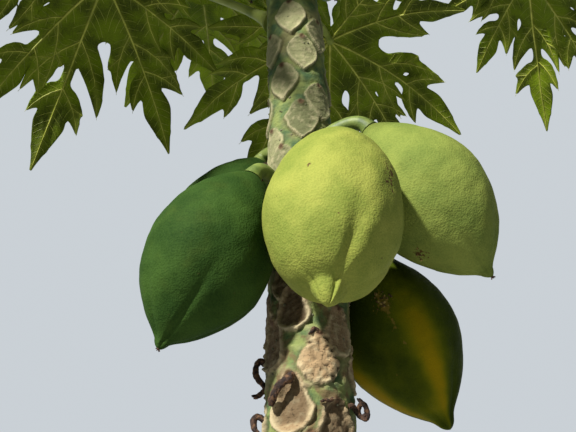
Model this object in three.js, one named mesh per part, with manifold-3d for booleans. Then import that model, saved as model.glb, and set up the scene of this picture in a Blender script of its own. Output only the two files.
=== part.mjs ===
// Papaya tree, whole, rooted in level ground: an unbranched trunk, a bunch of fruits and a crown of lobed leaves.
// Millimetres, +Z up. The origin is the middle of the flat cut at ground level.
import * as THREE from 'three';
import Module from 'manifold-3d';

const wasm = await Module();
wasm.setup();

// Gap between a piece and what carries it
const SEAT_GAP = 0.3;

// Trunk
const TRUNK_TOP = 2815;
const TRUNK_FOOT_RADIUS = 90.4;
const TRUNK_TAPER = 0.0195;
const TRUNK_BOW = 8;
const TRUNK_BOW_HEIGHT = 1750;
const TRUNK_BOW_DEPTH = 15;
const TRUNK_TIP_LEAN = 47;
const TRUNK_SIDES = 16;
const TRUNK_RING_STEP = 150;
const TRUNK_DOME_HEIGHT = 36;
const FLARE_RADIUS = 30;
const FLARE_HEIGHT = 90;
const FLARE_RIDGES = 5;
const FLARE_RIDGE_DEPTH = 7;
const FLARE_RING_HEIGHTS = [0, 30, 70, 130, 220];

// Spiral on which the leaves stand, worked out from the leaf scars on the trunk
const LEAF_DIVERGENCE = 136.8;
const LEAF_RISE = 15.6;
const SCAR_AZIMUTH = -80;
const SCAR_HEIGHT = 2340;
const FIRST_LEAF = 7;
const LEAF_COUNT = 22;

// Leaves, from the oldest and lowest to the youngest at the tip
const MATURE_SHARE = 0.35;
const PETIOLE_LENGTH = 540;
const PETIOLE_SHRINK = 0.45;
const PETIOLE_RISE = 32;
const PETIOLE_RISE_GAIN = 48;
const PETIOLE_BASE_RADIUS = 13;
const PETIOLE_RADIUS = 7;
const PETIOLE_SINK = 8;
const PETIOLE_ARCH = 0.1;
const PETIOLE_SIDES = 6;
const PETIOLE_RINGS = 5;
const BLADE_REACH = 425;
const BLADE_SHRINK = 0.62;
const BLADE_TILT = 35;
const BLADE_TILT_LOSS = 75;
const BLADE_DROOP = 0.7;
const BLADE_DROOP_LOSS = 0.4;
const BLADE_FOLD = 0.7;
const BLADE_THICKNESS = 4;

// Lobes of a blade: angle from the middle lobe, length as a share of the reach
const LOBE_ANGLES = [-145, -108, -72, -36, 0, 36, 72, 108, 145];
const LOBE_LENGTHS = [0.46, 0.66, 0.84, 0.95, 1, 0.95, 0.84, 0.66, 0.46];
const LOBE_ROOT = 0.32;
const LOBE_WIDEST = 0.62;
const LOBE_HALF_WIDTH = 0.2;
const LOBE_SECTOR_SHARE = 0.42;
const STALK_NOTCH = 0.05;

// Leaves whose place, turn and lobes are known one by one
const KNOWN_LEAVES = {
  7: {
    centre: [-411, 271, 2796],
    heading: 115,
    tilt: 33.5,
    roll: -4,
    spin: 0,
    droop: 0.59,
    reach: 417,
    turns: [0, 0, 0, 1, -10, 6, 3, 0, 0],
    lengths: [0.46, 0.66, 0.84, 0.92, 1.07, 0.98, 0.76, 0.66, 0.46],
  },
  9: {
    centre: [76, 423, 2759],
    heading: 91,
    tilt: 33,
    roll: -2,
    spin: -1,
    droop: 0.77,
    reach: 426,
    turns: [0, 0, -3, -3, 0, 4, -5, 6, 0],
    lengths: [0.46, 0.66, 0.93, 0.95, 0.95, 0.79, 0.88, 0.72, 0.46],
  },
  12: {
    centre: [-220, 360, 2885],
    heading: 125,
    tilt: 4,
    droop: 0.5,
    reach: 400,
  },
  14: {
    centre: [555, 421, 2959],
    heading: 25,
    tilt: 37,
    roll: 6,
    spin: 8,
    droop: 0.63,
    reach: 397,
    turns: [0, 0, -1, 0, -1, 0, 0, 0, 0],
    lengths: [0.46, 0.66, 0.75, 1.01, 0.87, 0.95, 0.84, 0.66, 0.46],
  },
};

// Full-grown fruits: azimuth and height of the stalk on the trunk, shoulder, tip and greatest radius
const FRUIT_SIDES = 12;
const FRUIT_RINGS = 7;
const YOUNG_FRUIT_SIDES = 7;
const FRUIT_BODY_SHARE = 0.965;
const FRUIT_LOW_WEIGHT = 1.1;
const FRUIT_FULLNESS = 0.6;
const NIPPLE_RADIUS = 0.17;
const NIPPLE_SHARE = 0.1;
const STALK_RADIUS = 10;
const STALK_RINGS = 2;
const STALK_SINK = 8;
const STALK_LIFT = 28;
const FRUITS = [
  {
    name: 'fruit_front',
    azimuth: -72,
    height: 2150,
    shoulder: [39, -128, 2135],
    tip: [32, -192, 1877],
    radius: 84.8,
  },
  {
    name: 'fruit_right_upper',
    azimuth: -30,
    height: 2200,
    shoulder: [94, -43, 2205],
    tip: [245, -47, 1967],
    radius: 83.8,
  },
  {
    name: 'fruit_right_lower',
    azimuth: 40,
    height: 2050,
    shoulder: [63, 74, 2071],
    tip: [199, 88, 1802],
    radius: 87,
  },
  {
    name: 'fruit_left',
    azimuth: 215,
    height: 2105,
    shoulder: [-66, -70, 2109],
    tip: [-177, -71, 1862],
    radius: 81.4,
  },
  {
    name: 'fruit_left_back',
    azimuth: 135,
    height: 2200,
    shoulder: [-62, 85, 2228],
    tip: [-185, 85, 1977],
    radius: 82,
  },
  {
    name: 'fruit_back_upper',
    azimuth: 80,
    height: 2255,
    shoulder: [14, 105, 2262],
    tip: [30, 200, 2010],
    radius: 76,
  },
  {
    name: 'fruit_back_lower',
    azimuth: 92,
    height: 1990,
    shoulder: [4, 100, 1985],
    tip: [8, 172, 1765],
    radius: 60,
  },
];

// Young fruits, each beside the foot of the leaf it belongs to
const YOUNG_FRUITS = [
  { name: 'young_fruit_1', leaf: 8, radius: 17 },
  { name: 'young_fruit_2', leaf: 10, radius: 15 },
  { name: 'young_fruit_3', leaf: 11, radius: 13 },
  { name: 'young_fruit_4', leaf: 12, radius: 11 },
];
const YOUNG_FRUIT_TURN = 26;
const YOUNG_FRUIT_LIFT = 22;
const YOUNG_FRUIT_OUT = 26;
const YOUNG_FRUIT_SLENDERNESS = 2.9;

const UP = new THREE.Vector3(0, 0, 1);

function radians(degrees) {
  return THREE.MathUtils.degToRad(degrees);
}

// Horizontal unit vector at an azimuth counted from +X towards +Y
function outward(azimuth) {
  return new THREE.Vector3(Math.cos(radians(azimuth)), Math.sin(radians(azimuth)), 0);
}

// Closed solid through rings of equal counts, from a start point to an end point
function loft(rings, start, end) {
  const count = rings[0].length;
  const points = [start, ...rings.flat(), end];
  const last = points.length - 1;
  const faces = [];
  const at = (ring, side) => 1 + ring * count + (side % count);
  for (let side = 0; side < count; side += 1) {
    faces.push([0, at(0, side + 1), at(0, side)]);
    faces.push([last, at(rings.length - 1, side), at(rings.length - 1, side + 1)]);
    for (let ring = 0; ring < rings.length - 1; ring += 1) {
      faces.push([at(ring, side), at(ring, side + 1), at(ring + 1, side + 1)]);
      faces.push([at(ring, side), at(ring + 1, side + 1), at(ring + 1, side)]);
    }
  }
  return surface(points, faces);
}

function surface(points, faces) {
  const geometry = new THREE.BufferGeometry();
  geometry.setFromPoints(points);
  geometry.setIndex(faces.flat());
  return geometry;
}

// Ring of points about a centre, counter-clockwise round the direction of travel
function ring(centre, travel, reference, radius, sides) {
  const across = new THREE.Vector3().crossVectors(travel, reference).normalize();
  const along = new THREE.Vector3().crossVectors(travel, across).normalize();
  const points = [];
  for (let side = 0; side < sides; side += 1) {
    const angle = (2 * Math.PI * side) / sides;
    points.push(centre.clone()
      .addScaledVector(across, radius * Math.cos(angle))
      .addScaledVector(along, radius * Math.sin(angle)));
  }
  return points;
}

// Middle of the trunk at a height: a slight bow low down, then a lean that grows towards the tip
function trunkAxis(height) {
  const low = Math.min(1, height / TRUNK_BOW_HEIGHT);
  const high = Math.max(0, height - TRUNK_BOW_HEIGHT) / (TRUNK_TOP - TRUNK_BOW_HEIGHT);
  return new THREE.Vector3(
    TRUNK_BOW * Math.sin((Math.PI * low) / 2) - TRUNK_TIP_LEAN * high ** 2,
    TRUNK_BOW_DEPTH * Math.sin(Math.PI * low) ** 2,
    height,
  );
}

function trunkRadius(height, azimuth) {
  const fade = Math.exp(-height / FLARE_HEIGHT);
  const ridge = FLARE_RIDGE_DEPTH * Math.cos(FLARE_RIDGES * radians(azimuth));
  return TRUNK_FOOT_RADIUS - TRUNK_TAPER * height + (FLARE_RADIUS + ridge) * fade;
}

function trunkGeometry(inflation) {
  const shoulder = TRUNK_TOP - TRUNK_DOME_HEIGHT;
  const heights = [...FLARE_RING_HEIGHTS];
  while (heights.at(-1) + TRUNK_RING_STEP < shoulder) {
    heights.push(heights.at(-1) + TRUNK_RING_STEP);
  }
  heights.push(shoulder);
  const rings = heights.map((height) => trunkRing(height, inflation));
  rings.push(trunkRing(TRUNK_TOP - TRUNK_DOME_HEIGHT / 4, inflation, 0.62));
  return loft(rings, trunkAxis(0), trunkAxis(TRUNK_TOP + inflation));
}

function trunkRing(height, inflation, share = 1) {
  const centre = trunkAxis(height);
  const points = [];
  for (let side = 0; side < TRUNK_SIDES; side += 1) {
    const azimuth = (360 * side) / TRUNK_SIDES;
    const radius = share * trunkRadius(height, azimuth) + inflation;
    points.push(centre.clone().addScaledVector(outward(azimuth), radius));
  }
  return points;
}

function toSolid(geometry) {
  const mesh = new wasm.Mesh({
    numProp: 3,
    vertProperties: new Float32Array(geometry.attributes.position.array),
    triVerts: new Uint32Array(geometry.index.array),
  });
  return new wasm.Manifold(mesh);
}

function fromSolid(solid) {
  const mesh = solid.getMesh();
  const geometry = new THREE.BufferGeometry();
  geometry.setAttribute('position', new THREE.BufferAttribute(mesh.vertProperties, 3));
  geometry.setIndex(new THREE.BufferAttribute(mesh.triVerts, 1));
  return geometry;
}

// What is left of a piece outside the trunk, with the seat gap round the trunk
function seatOnTrunk(geometry) {
  return fromSolid(toSolid(geometry).subtract(trunkForSeats));
}

// Radius of a fruit at a share of its length from the shoulder: full below the middle, with a short nipple
function fruitProfile(share, radius) {
  const swell = Math.sin(Math.PI * Math.min(1, share / FRUIT_BODY_SHARE) ** FRUIT_LOW_WEIGHT);
  const body = Math.max(0, swell) ** FRUIT_FULLNESS;
  const nipple = NIPPLE_RADIUS * Math.min(1, (1 - share) / NIPPLE_SHARE) ** 0.55;
  return radius * Math.max(body, nipple);
}

// Fruit and its stalk as one solid, the stalk bending from the trunk into the fruit's own axis
function fruitGeometry(fruit) {
  const shoulder = new THREE.Vector3(...fruit.shoulder);
  const tip = new THREE.Vector3(...fruit.tip);
  const axis = tip.clone().sub(shoulder);
  const foot = trunkAxis(fruit.height)
    .addScaledVector(outward(fruit.azimuth), trunkRadius(fruit.height, fruit.azimuth) - STALK_SINK);
  const bend = shoulder.clone().addScaledVector(axis.clone().normalize(), -fruit.stalkLift);
  const stalk = new THREE.QuadraticBezierCurve3(foot, bend, shoulder);
  const side = new THREE.Vector3().crossVectors(axis, outward(fruit.azimuth)).normalize();
  const rings = [];
  for (let step = 0; step < STALK_RINGS; step += 1) {
    const share = step / STALK_RINGS;
    const travel = stalk.getTangent(share);
    rings.push(ring(stalk.getPoint(share), travel, side, fruit.stalkRadius, fruit.sides));
  }
  for (let step = 0; step < FRUIT_RINGS; step += 1) {
    const share = 0.5 - 0.5 * Math.cos(Math.PI * (step + 0.35) / (FRUIT_RINGS - 0.2));
    const radius = Math.max(fruit.stalkRadius, fruitProfile(share, fruit.radius));
    rings.push(ring(shoulder.clone().addScaledVector(axis, share), axis, side, radius, fruit.sides));
  }
  return seatOnTrunk(loft(rings, foot, tip));
}

function youngFruit(young) {
  const azimuth = leafAzimuth(young.leaf) + YOUNG_FRUIT_TURN;
  const height = leafHeight(young.leaf) + YOUNG_FRUIT_LIFT;
  const surfaceRadius = trunkRadius(height, azimuth);
  const shoulder = trunkAxis(height)
    .addScaledVector(outward(azimuth), surfaceRadius + YOUNG_FRUIT_OUT - young.radius / 2);
  const hang = outward(azimuth).multiplyScalar(0.55).addScaledVector(UP, -1).normalize();
  const tip = shoulder.clone().addScaledVector(hang, YOUNG_FRUIT_SLENDERNESS * young.radius);
  return {
    ...young,
    azimuth,
    height,
    shoulder: shoulder.toArray(),
    tip: tip.toArray(),
    sides: YOUNG_FRUIT_SIDES,
    stalkRadius: young.radius / 4,
    stalkLift: young.radius / 2,
  };
}

function leafAzimuth(number) {
  return SCAR_AZIMUTH + LEAF_DIVERGENCE * number;
}

function leafHeight(number) {
  return SCAR_HEIGHT + LEAF_RISE * number;
}

// Place, turn and size of one leaf on the spiral
function leafPlan(number) {
  const youth = (number - FIRST_LEAF) / (LEAF_COUNT - 1);
  const growth = Math.max(0, youth - MATURE_SHARE) / (1 - MATURE_SHARE);
  const azimuth = leafAzimuth(number);
  const height = leafHeight(number);
  const rise = radians(PETIOLE_RISE + PETIOLE_RISE_GAIN * youth ** 1.3);
  const length = PETIOLE_LENGTH * (1 - PETIOLE_SHRINK * growth);
  const centre = trunkAxis(height)
    .addScaledVector(outward(azimuth), trunkRadius(height, azimuth) + length * Math.cos(rise))
    .addScaledVector(UP, length * Math.sin(rise));
  const rule = {
    centre: centre.toArray(),
    heading: azimuth,
    tilt: BLADE_TILT - BLADE_TILT_LOSS * youth,
    roll: 0,
    spin: 0,
    droop: BLADE_DROOP - BLADE_DROOP_LOSS * youth,
    reach: BLADE_REACH * (1 - BLADE_SHRINK * growth),
    turns: LOBE_ANGLES.map((angle) => -BLADE_FOLD * growth * angle),
    lengths: LOBE_LENGTHS,
  };
  return { azimuth, height, growth, ...rule, ...KNOWN_LEAVES[number] };
}

// Directions of a blade: along its middle lobe, across it, and out of its upper face
function bladeFrame(leaf) {
  const tilt = radians(leaf.tilt);
  const level = outward(leaf.heading);
  const along = level.clone().multiplyScalar(Math.cos(tilt)).addScaledVector(UP, -Math.sin(tilt));
  const normal = level.clone().multiplyScalar(Math.sin(tilt)).addScaledVector(UP, Math.cos(tilt));
  normal.applyAxisAngle(along, radians(leaf.roll));
  along.applyAxisAngle(normal, radians(leaf.spin));
  const across = new THREE.Vector3().crossVectors(along, normal);
  return { along, across, normal };
}

// Point of a blade at an angle and distance from the petiole: each ray sags evenly under its weight
function bladePoint(leaf, frame, angle, distance) {
  const ray = frame.along.clone().multiplyScalar(Math.cos(radians(angle)))
    .addScaledVector(frame.across, Math.sin(radians(angle)));
  const sag = UP.clone().negate().addScaledVector(ray, ray.z);
  const curvature = (leaf.droop / leaf.reach) * sag.length();
  const turn = curvature * distance;
  return new THREE.Vector3(...leaf.centre)
    .addScaledVector(ray, Math.sin(turn) / curvature)
    .addScaledVector(sag.normalize(), (1 - Math.cos(turn)) / curvature);
}

// Blade as a thin closed sheet: a fan round the petiole and one pointed lobe beyond each rib
function bladeGeometry(leaf) {
  const frame = bladeFrame(leaf);
  const angles = LOBE_ANGLES.map((angle, index) => angle + leaf.turns[index]);
  const flat = [[0, 0]];
  const faces = [];
  const outline = [];
  const add = (angle, distance) => flat.push([angle, distance]) - 1;
  const notch = add(180, STALK_NOTCH * leaf.reach);
  let before = notch;
  angles.forEach((angle, index) => {
    const length = leaf.lengths[index] * leaf.reach;
    const isLast = index === angles.length - 1;
    const toLeft = index === 0 ? 180 + angle : angle - angles[index - 1];
    const toRight = isLast ? 180 - angle : angles[index + 1] - angle;
    const nextLength = leaf.lengths[Math.min(index + 1, angles.length - 1)] * leaf.reach;
    const rib = add(angle, LOBE_ROOT * length);
    const left = add(angle - lobeSide(toLeft), LOBE_WIDEST * length);
    const middle = add(angle, LOBE_WIDEST * length);
    const right = add(angle + lobeSide(toRight), LOBE_WIDEST * length);
    const tip = add(angle, length);
    const after = isLast ? notch : add(angle + toRight / 2, LOBE_ROOT * (length + nextLength) / 2);
    faces.push([0, before, rib], [0, rib, after]);
    faces.push([before, left, middle], [before, middle, rib]);
    faces.push([rib, middle, right], [rib, right, after]);
    faces.push([left, tip, middle], [middle, tip, right]);
    outline.push(before, left, tip, right);
    before = after;
  });
  const points = flat.map(([angle, distance]) => bladePoint(leaf, frame, angle, distance));
  return sheet(points, faces, outline, frame.normal);
}

// Half of a lobe's angle at its widest, kept inside its own share of the blade
function lobeSide(spacing) {
  const widest = THREE.MathUtils.radToDeg(Math.atan(LOBE_HALF_WIDTH / LOBE_WIDEST));
  return Math.min(widest, LOBE_SECTOR_SHARE * spacing);
}

// Closed sheet of even thickness over a triangulated face; the faces run clockwise seen from above
function sheet(points, faces, outline, normal) {
  const lift = normal.clone().multiplyScalar(BLADE_THICKNESS / 2);
  const upper = points.map((point) => point.clone().add(lift));
  const lower = points.map((point) => point.clone().sub(lift));
  const count = points.length;
  const all = [];
  faces.forEach(([a, b, c]) => {
    all.push([a, c, b], [a + count, b + count, c + count]);
  });
  outline.forEach((a, index) => {
    const b = outline[(index + 1) % outline.length];
    all.push([a, b, b + count], [a, b + count, a + count]);
  });
  return surface([...upper, ...lower], all);
}

// Petiole from inside the trunk to just under the blade, thickest at its foot
function petioleGeometry(leaf) {
  const frame = bladeFrame(leaf);
  const size = 1 - PETIOLE_SHRINK * leaf.growth;
  const endRadius = PETIOLE_RADIUS * size;
  const sagAtFan = (leaf.droop * LOBE_ROOT) / 2;
  const underside = BLADE_THICKNESS / 2 + SEAT_GAP + endRadius * sagAtFan;
  const end = new THREE.Vector3(...leaf.centre).addScaledVector(frame.normal, -underside);
  const surfaceRadius = trunkRadius(leaf.height, leaf.azimuth);
  const foot = trunkAxis(leaf.height).addScaledVector(outward(leaf.azimuth), surfaceRadius - PETIOLE_SINK);
  const span = end.distanceTo(foot);
  const middle = foot.clone().lerp(end, 0.5).addScaledVector(UP, PETIOLE_ARCH * span);
  const path = new THREE.QuadraticBezierCurve3(foot, middle, end);
  const side = outward(leaf.azimuth + 90);
  const rings = [];
  for (let step = 0; step < PETIOLE_RINGS; step += 1) {
    const share = (step / PETIOLE_RINGS) ** 1.5;
    const radius = size * (PETIOLE_RADIUS + (PETIOLE_BASE_RADIUS - PETIOLE_RADIUS) * Math.exp(-12 * share));
    rings.push(ring(path.getPoint(share), path.getTangent(share), side, radius, PETIOLE_SIDES));
  }
  rings.push(ring(end, frame.normal, side, endRadius, PETIOLE_SIDES));
  return seatOnTrunk(loft(rings, foot, end));
}

function piece(name, geometry, material) {
  const mesh = new THREE.Mesh(geometry, material);
  mesh.name = name;
  return mesh;
}

const bark = new THREE.MeshStandardMaterial({ color: '#7f8468', roughness: 0.9, metalness: 0 });
const fruitSkin = new THREE.MeshStandardMaterial({ color: '#7f9a3f', roughness: 0.5, metalness: 0 });
const youngSkin = new THREE.MeshStandardMaterial({ color: '#5f8a36', roughness: 0.5, metalness: 0 });
const petioleSkin = new THREE.MeshStandardMaterial({ color: '#9aa855', roughness: 0.6, metalness: 0 });
const bladeSkin = new THREE.MeshStandardMaterial({ color: '#4f6d22', roughness: 0.6, metalness: 0 });

const trunkForSeats = toSolid(trunkGeometry(SEAT_GAP));
const tree = new THREE.Group();
tree.add(piece('trunk', trunkGeometry(0), bark));

FRUITS.forEach((fruit) => {
  const stalked = { ...fruit, sides: FRUIT_SIDES, stalkRadius: STALK_RADIUS, stalkLift: STALK_LIFT };
  tree.add(piece(fruit.name, fruitGeometry(stalked), fruitSkin));
});

YOUNG_FRUITS.forEach((young) => {
  tree.add(piece(young.name, fruitGeometry(youngFruit(young)), youngSkin));
});

for (let index = 0; index < LEAF_COUNT; index += 1) {
  const leaf = leafPlan(FIRST_LEAF + index);
  const number = String(index + 1).padStart(2, '0');
  tree.add(piece(`petiole_${number}`, petioleGeometry(leaf), petioleSkin));
  tree.add(piece(`leaf_${number}`, bladeGeometry(leaf), bladeSkin));
}

export default tree;
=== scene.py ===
"""Papaya tree: the looks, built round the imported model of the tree.

Everything is in metres, +Z up, with the origin in the middle of the flat cut at ground level. The trunk, the
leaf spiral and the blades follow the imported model's own rules, so each fine piece lies where its node is.
"""
import logging
import math
from dataclasses import dataclass, field
from enum import Enum

import bpy
import numpy as np
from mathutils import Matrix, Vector


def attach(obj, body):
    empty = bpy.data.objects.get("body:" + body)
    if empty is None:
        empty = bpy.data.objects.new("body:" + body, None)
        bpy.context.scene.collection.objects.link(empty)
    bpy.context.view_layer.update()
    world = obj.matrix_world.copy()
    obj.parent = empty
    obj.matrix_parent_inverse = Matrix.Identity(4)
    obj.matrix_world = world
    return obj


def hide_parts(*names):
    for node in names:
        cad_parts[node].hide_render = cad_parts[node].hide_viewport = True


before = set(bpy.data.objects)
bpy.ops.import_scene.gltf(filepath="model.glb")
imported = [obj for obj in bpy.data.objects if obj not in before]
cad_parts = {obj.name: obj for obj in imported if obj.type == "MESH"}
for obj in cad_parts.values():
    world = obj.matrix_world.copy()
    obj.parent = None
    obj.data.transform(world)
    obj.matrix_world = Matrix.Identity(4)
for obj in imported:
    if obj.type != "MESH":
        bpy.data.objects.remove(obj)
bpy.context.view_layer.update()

log = logging.getLogger("papaya_tree")

MM = 0.001
UP = np.array([0.0, 0.0, 1.0])
BODY = "root"

Tree = bpy.types.NodeTree
Socket = bpy.types.NodeSocket
Mesh = bpy.types.Mesh
Array = np.ndarray
Random = np.random.Generator
Triple = tuple[float, float, float]


class Slot(Enum):
    """Material slots of the record."""

    TRUNK = "trunk"
    FRUIT = "fruit"
    YOUNG_FRUIT = "young_fruit"
    PETIOLE = "petiole"
    LEAF = "leaf"


class Outline(Enum):
    """How far the blade reaches beside a rib, from the rib's foot to its end."""

    WEB = "even width, closing over the last quarter"
    LANCE = "narrow at the foot, widest at a third, then to a sharp tip"


class Mask(Enum):
    """Attributes of the trunk's mesh that say where the bark is what."""

    SCAR = "scar"
    # Pale cork of the scars' rims, partly a painted highlight on their lower lips and on fold ridges
    RIM_AND_HIGHLIGHT = "rim"
    BUD = "bud"
    # Painted shade in the scars' hollows and crevices, in the dips round their edges and in the buds' sunken
    # eyes
    RECESS_SHADE = "recess_shade"
    TONE = "tone"


def outward(azimuth: float | Array) -> Array:
    """Return the level unit vector at an azimuth in degrees, counted from +X towards +Y."""
    turn = np.radians(azimuth)
    return np.stack([np.cos(turn), np.sin(turn), np.zeros_like(turn)], axis=-1)


def unit(vectors: Array) -> Array:
    """Return the vectors at length one."""
    return vectors / np.maximum(np.linalg.norm(vectors, axis=-1, keepdims=True), 1e-12)


def ramp(values: Array, low: float, high: float) -> Array:
    """Return a smooth step from 0 at low to 1 at high."""
    share = np.clip((values - low) / (high - low), 0.0, 1.0)
    return share * share * (3.0 - 2.0 * share)


def turned(vector: Array, axis: Array, degrees: float) -> Array:
    """Turn a vector about an axis.

    Args:
        vector: The vector.
        axis: Unit vector along the axis.
        degrees: Angle, counter-clockwise seen against the axis.

    Returns:
        The turned vector.
    """
    turn = math.radians(degrees)
    along = axis * (vector @ axis)
    return along + (vector - along) * math.cos(turn) + np.cross(axis, vector) * math.sin(turn)


def bezier(start: Array, bend: Array, end: Array, shares: Array) -> Array:
    """Return points of a quadratic curve at the given shares of its parameter."""
    s = np.asarray(shares)[:, None]
    return start * (1 - s) ** 2 + bend * 2 * s * (1 - s) + end * s**2


def bell(values: Array, width: float | Array) -> Array:
    """Return a bell curve that is 1 where the values are 0."""
    return np.exp(-((values / width) ** 2))


def flat_way(turn: float) -> Array:
    """Return the flat unit vector at an angle in radians."""
    return np.array([math.cos(turn), math.sin(turn)])


def point_on(line: Array, shares: Array, share: float) -> Array:
    """Return the point at one share of a line whose points stand at the given shares."""
    return np.array([np.interp(share, shares, line[:, axis]) for axis in range(line.shape[1])])


class Lumps:
    """Smooth seeded noise from -1 to 1 in three dimensions, for shapes."""

    CELLS = 24

    def __init__(self, seed: int) -> None:
        """Draw the values of the cell corners, which the seed fixes."""
        self.corners = np.random.default_rng(seed).uniform(-1, 1, (self.CELLS,) * 3)

    def at(self, points: Array, size: float) -> Array:
        """Return the noise at some points.

        Args:
            points: Points, in metres, in the last axis of three.
            size: Size of a lump, in metres.

        Returns:
            One value for each point.
        """
        scaled = np.asarray(points) / size
        cell = np.floor(scaled).astype(int)
        part = scaled - cell
        part = part * part * (3 - 2 * part)
        total = np.zeros(scaled.shape[:-1])
        for corner in np.ndindex(2, 2, 2):
            weight = np.ones(scaled.shape[:-1])
            for axis in range(3):
                weight = weight * (part[..., axis] if corner[axis] else 1 - part[..., axis])
            index = tuple((cell[..., axis] + corner[axis]) % self.CELLS for axis in range(3))
            total = total + weight * self.corners[index]
        return total


LUMPS = Lumps(3)


# Finishes


def linear(tone: str) -> tuple[float, float, float, float]:
    """Turn an sRGB hex colour to the linear values that a shader takes.

    Args:
        tone: Colour as "#rrggbb".

    Returns:
        Linear red, green and blue, and a full alpha.
    """
    values = []
    for start in (1, 3, 5):
        part = int(tone[start:start + 2], 16) / 255
        values.append(part / 12.92 if part <= 0.04045 else ((part + 0.055) / 1.055) ** 2.4)
    return (*values, 1.0)


def add_node(tree: Tree, kind: str, inputs: dict | None = None, **settings: object) -> bpy.types.Node:
    """Add one node with its settings and links.

    Args:
        tree: Shader or geometry tree.
        kind: Node type.
        inputs: For each input, by name or index, an output socket to link or a value to set.
        settings: Attributes of the node.

    Returns:
        The new node.
    """
    node = tree.nodes.new(kind)
    for name, value in settings.items():
        setattr(node, name, value)
    for socket, value in (inputs or {}).items():
        if isinstance(value, Socket):
            tree.links.new(value, node.inputs[socket])
        else:
            node.inputs[socket].default_value = value
    return node


def grain(
    tree: Tree,
    size_mm: float,
    detail: float = 3.0,
    span: tuple[float, float] | None = None,
    stretch: Triple | None = None,
) -> Socket:
    """Noise of a real size on Object coordinates.

    Args:
        tree: Shader tree.
        size_mm: Size of one patch.
        detail: Octaves of finer noise.
        span: Values of the noise that become 0 and 1, with a soft passage between them.
        stretch: Scale of the coordinates along X, Y and Z; under 1 draws the patches out.

    Returns:
        The value socket; without a span most values lie between 0.3 and 0.7.
    """
    place = add_node(tree, "ShaderNodeTexCoord").outputs["Object"]
    if stretch is not None:
        place = add_node(tree, "ShaderNodeMapping", {"Vector": place, "Scale": stretch}).outputs["Vector"]
    inputs = {"Vector": place, "Scale": 1 / (size_mm * MM), "Detail": detail}
    value = add_node(tree, "ShaderNodeTexNoise", inputs).outputs["Fac"]
    if span is not None:
        inputs = {"Value": value, "From Min": span[0], "From Max": span[1]}
        value = add_node(tree, "ShaderNodeMapRange", inputs, interpolation_type="SMOOTHSTEP").outputs[0]
    return value


def relief(tree: Tree, *layers: tuple[Socket, float]) -> Socket:
    """Lay bumps over each other.

    Args:
        tree: Shader tree.
        layers: Height socket, from 0 to 1, and height of a full step in millimetres, the coarsest first.

    Returns:
        The normal socket.
    """
    below = {}
    for height, depth_mm in layers:
        inputs = {"Height": height, "Distance": depth_mm * MM, "Strength": 1.0, **below}
        below = {"Normal": add_node(tree, "ShaderNodeBump", inputs).outputs["Normal"]}
    return below["Normal"]


@dataclass(frozen=True)
class Coat:
    """Coat of one tone over what lies below, as thick as a value says.

    The span gives the values at which the coat is bare and full, with a soft passage between. Without one,
    the value itself is the thickness. The strength weakens it, and another value can keep it within bounds.
    """

    value: Socket
    tone: str | Socket
    span: tuple[float, float] | None = None
    strength: float = 1.0
    within: Socket | None = None

    def thickness(self, tree: Tree) -> Socket:
        """Work out how thick the coat is.

        Args:
            tree: Shader tree.

        Returns:
            The value socket, from 0 to 1.
        """
        value = self.value
        if self.span is not None:
            inputs = {"Value": value, "From Min": self.span[0], "From Max": self.span[1]}
            value = add_node(tree, "ShaderNodeMapRange", inputs, interpolation_type="SMOOTHSTEP").outputs[0]
        for factor in (self.within, self.strength):
            if factor not in (None, 1.0):
                inputs = {0: value, 1: factor}
                value = add_node(tree, "ShaderNodeMath", inputs, operation="MULTIPLY").outputs[0]
        return value


def coated(tree: Tree, body: str | Socket, *coats: Coat) -> Socket:
    """Lay coats over a body colour.

    Args:
        tree: Shader tree.
        body: Hex tone or colour socket below the coats.
        coats: The coats, the lowest first.

    Returns:
        The colour socket.
    """
    for coat in coats:
        below, above = (linear(tone) if isinstance(tone, str) else tone for tone in (body, coat.tone))
        inputs = {0: coat.thickness(tree), 6: below, 7: above}
        body = add_node(tree, "ShaderNodeMix", inputs, data_type="RGBA").outputs[2]
    return body


def new_shader(name: str) -> tuple[bpy.types.Material, Tree]:
    """Make a material with an empty tree.

    Args:
        name: Name of the material.

    Returns:
        The material and its tree.
    """
    material = bpy.data.materials.new(name)
    material.use_nodes = True
    material.node_tree.nodes.clear()
    return material, material.node_tree


def close_shader(tree: Tree, colour: Socket, normal: Socket, **values: float) -> None:
    """End a tree in one Principled shader.

    Args:
        tree: Shader tree.
        colour: Base colour socket.
        normal: Normal socket.
        values: Even values of further sockets, with spaces in their names written as underscores.
    """
    inputs = {"Base Color": colour, "Normal": normal}
    inputs.update({name.replace("_", " "): value for name, value in values.items()})
    shader = add_node(tree, "ShaderNodeBsdfPrincipled", inputs)
    add_node(tree, "ShaderNodeOutputMaterial", {"Surface": shader.outputs["BSDF"]})


@dataclass(frozen=True)
class Finish:
    """Finish of a surface, which becomes a material of its name."""

    name: str

    def material(self) -> bpy.types.Material:
        """Make the finish a material, once.

        Returns:
            The material.
        """
        made = bpy.data.materials.get(self.name)
        if made is None:
            made, tree = new_shader(self.name)
            self.lay(tree)
        return made

    def lay(self, tree: Tree) -> None:
        """Lay the finish into a material's empty tree."""
        raise NotImplementedError


@dataclass(frozen=True)
class Skin(Finish):
    """Plain plant skin: soft patches of three tones over a fine grain."""

    tones: tuple[str, str, str]
    patch_mm: float
    grain_mm: float
    grain_depth_mm: float
    roughness: float

    def lay(self, tree: Tree) -> None:
        """Lay the finish into a material's empty tree.

        Args:
            tree: Shader tree.
        """
        patches = grain(tree, self.patch_mm, 2.0, (0.3, 0.7))
        colours = add_node(tree, "ShaderNodeValToRGB", {"Fac": patches})
        stops = colours.color_ramp.elements
        stops.new(0.5)
        for stop, tone in zip(stops, self.tones):
            stop.color = linear(tone)
        normal = relief(tree, (grain(tree, self.grain_mm), self.grain_depth_mm))
        close_shader(tree, colours.outputs["Color"], normal, Roughness=self.roughness)


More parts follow.
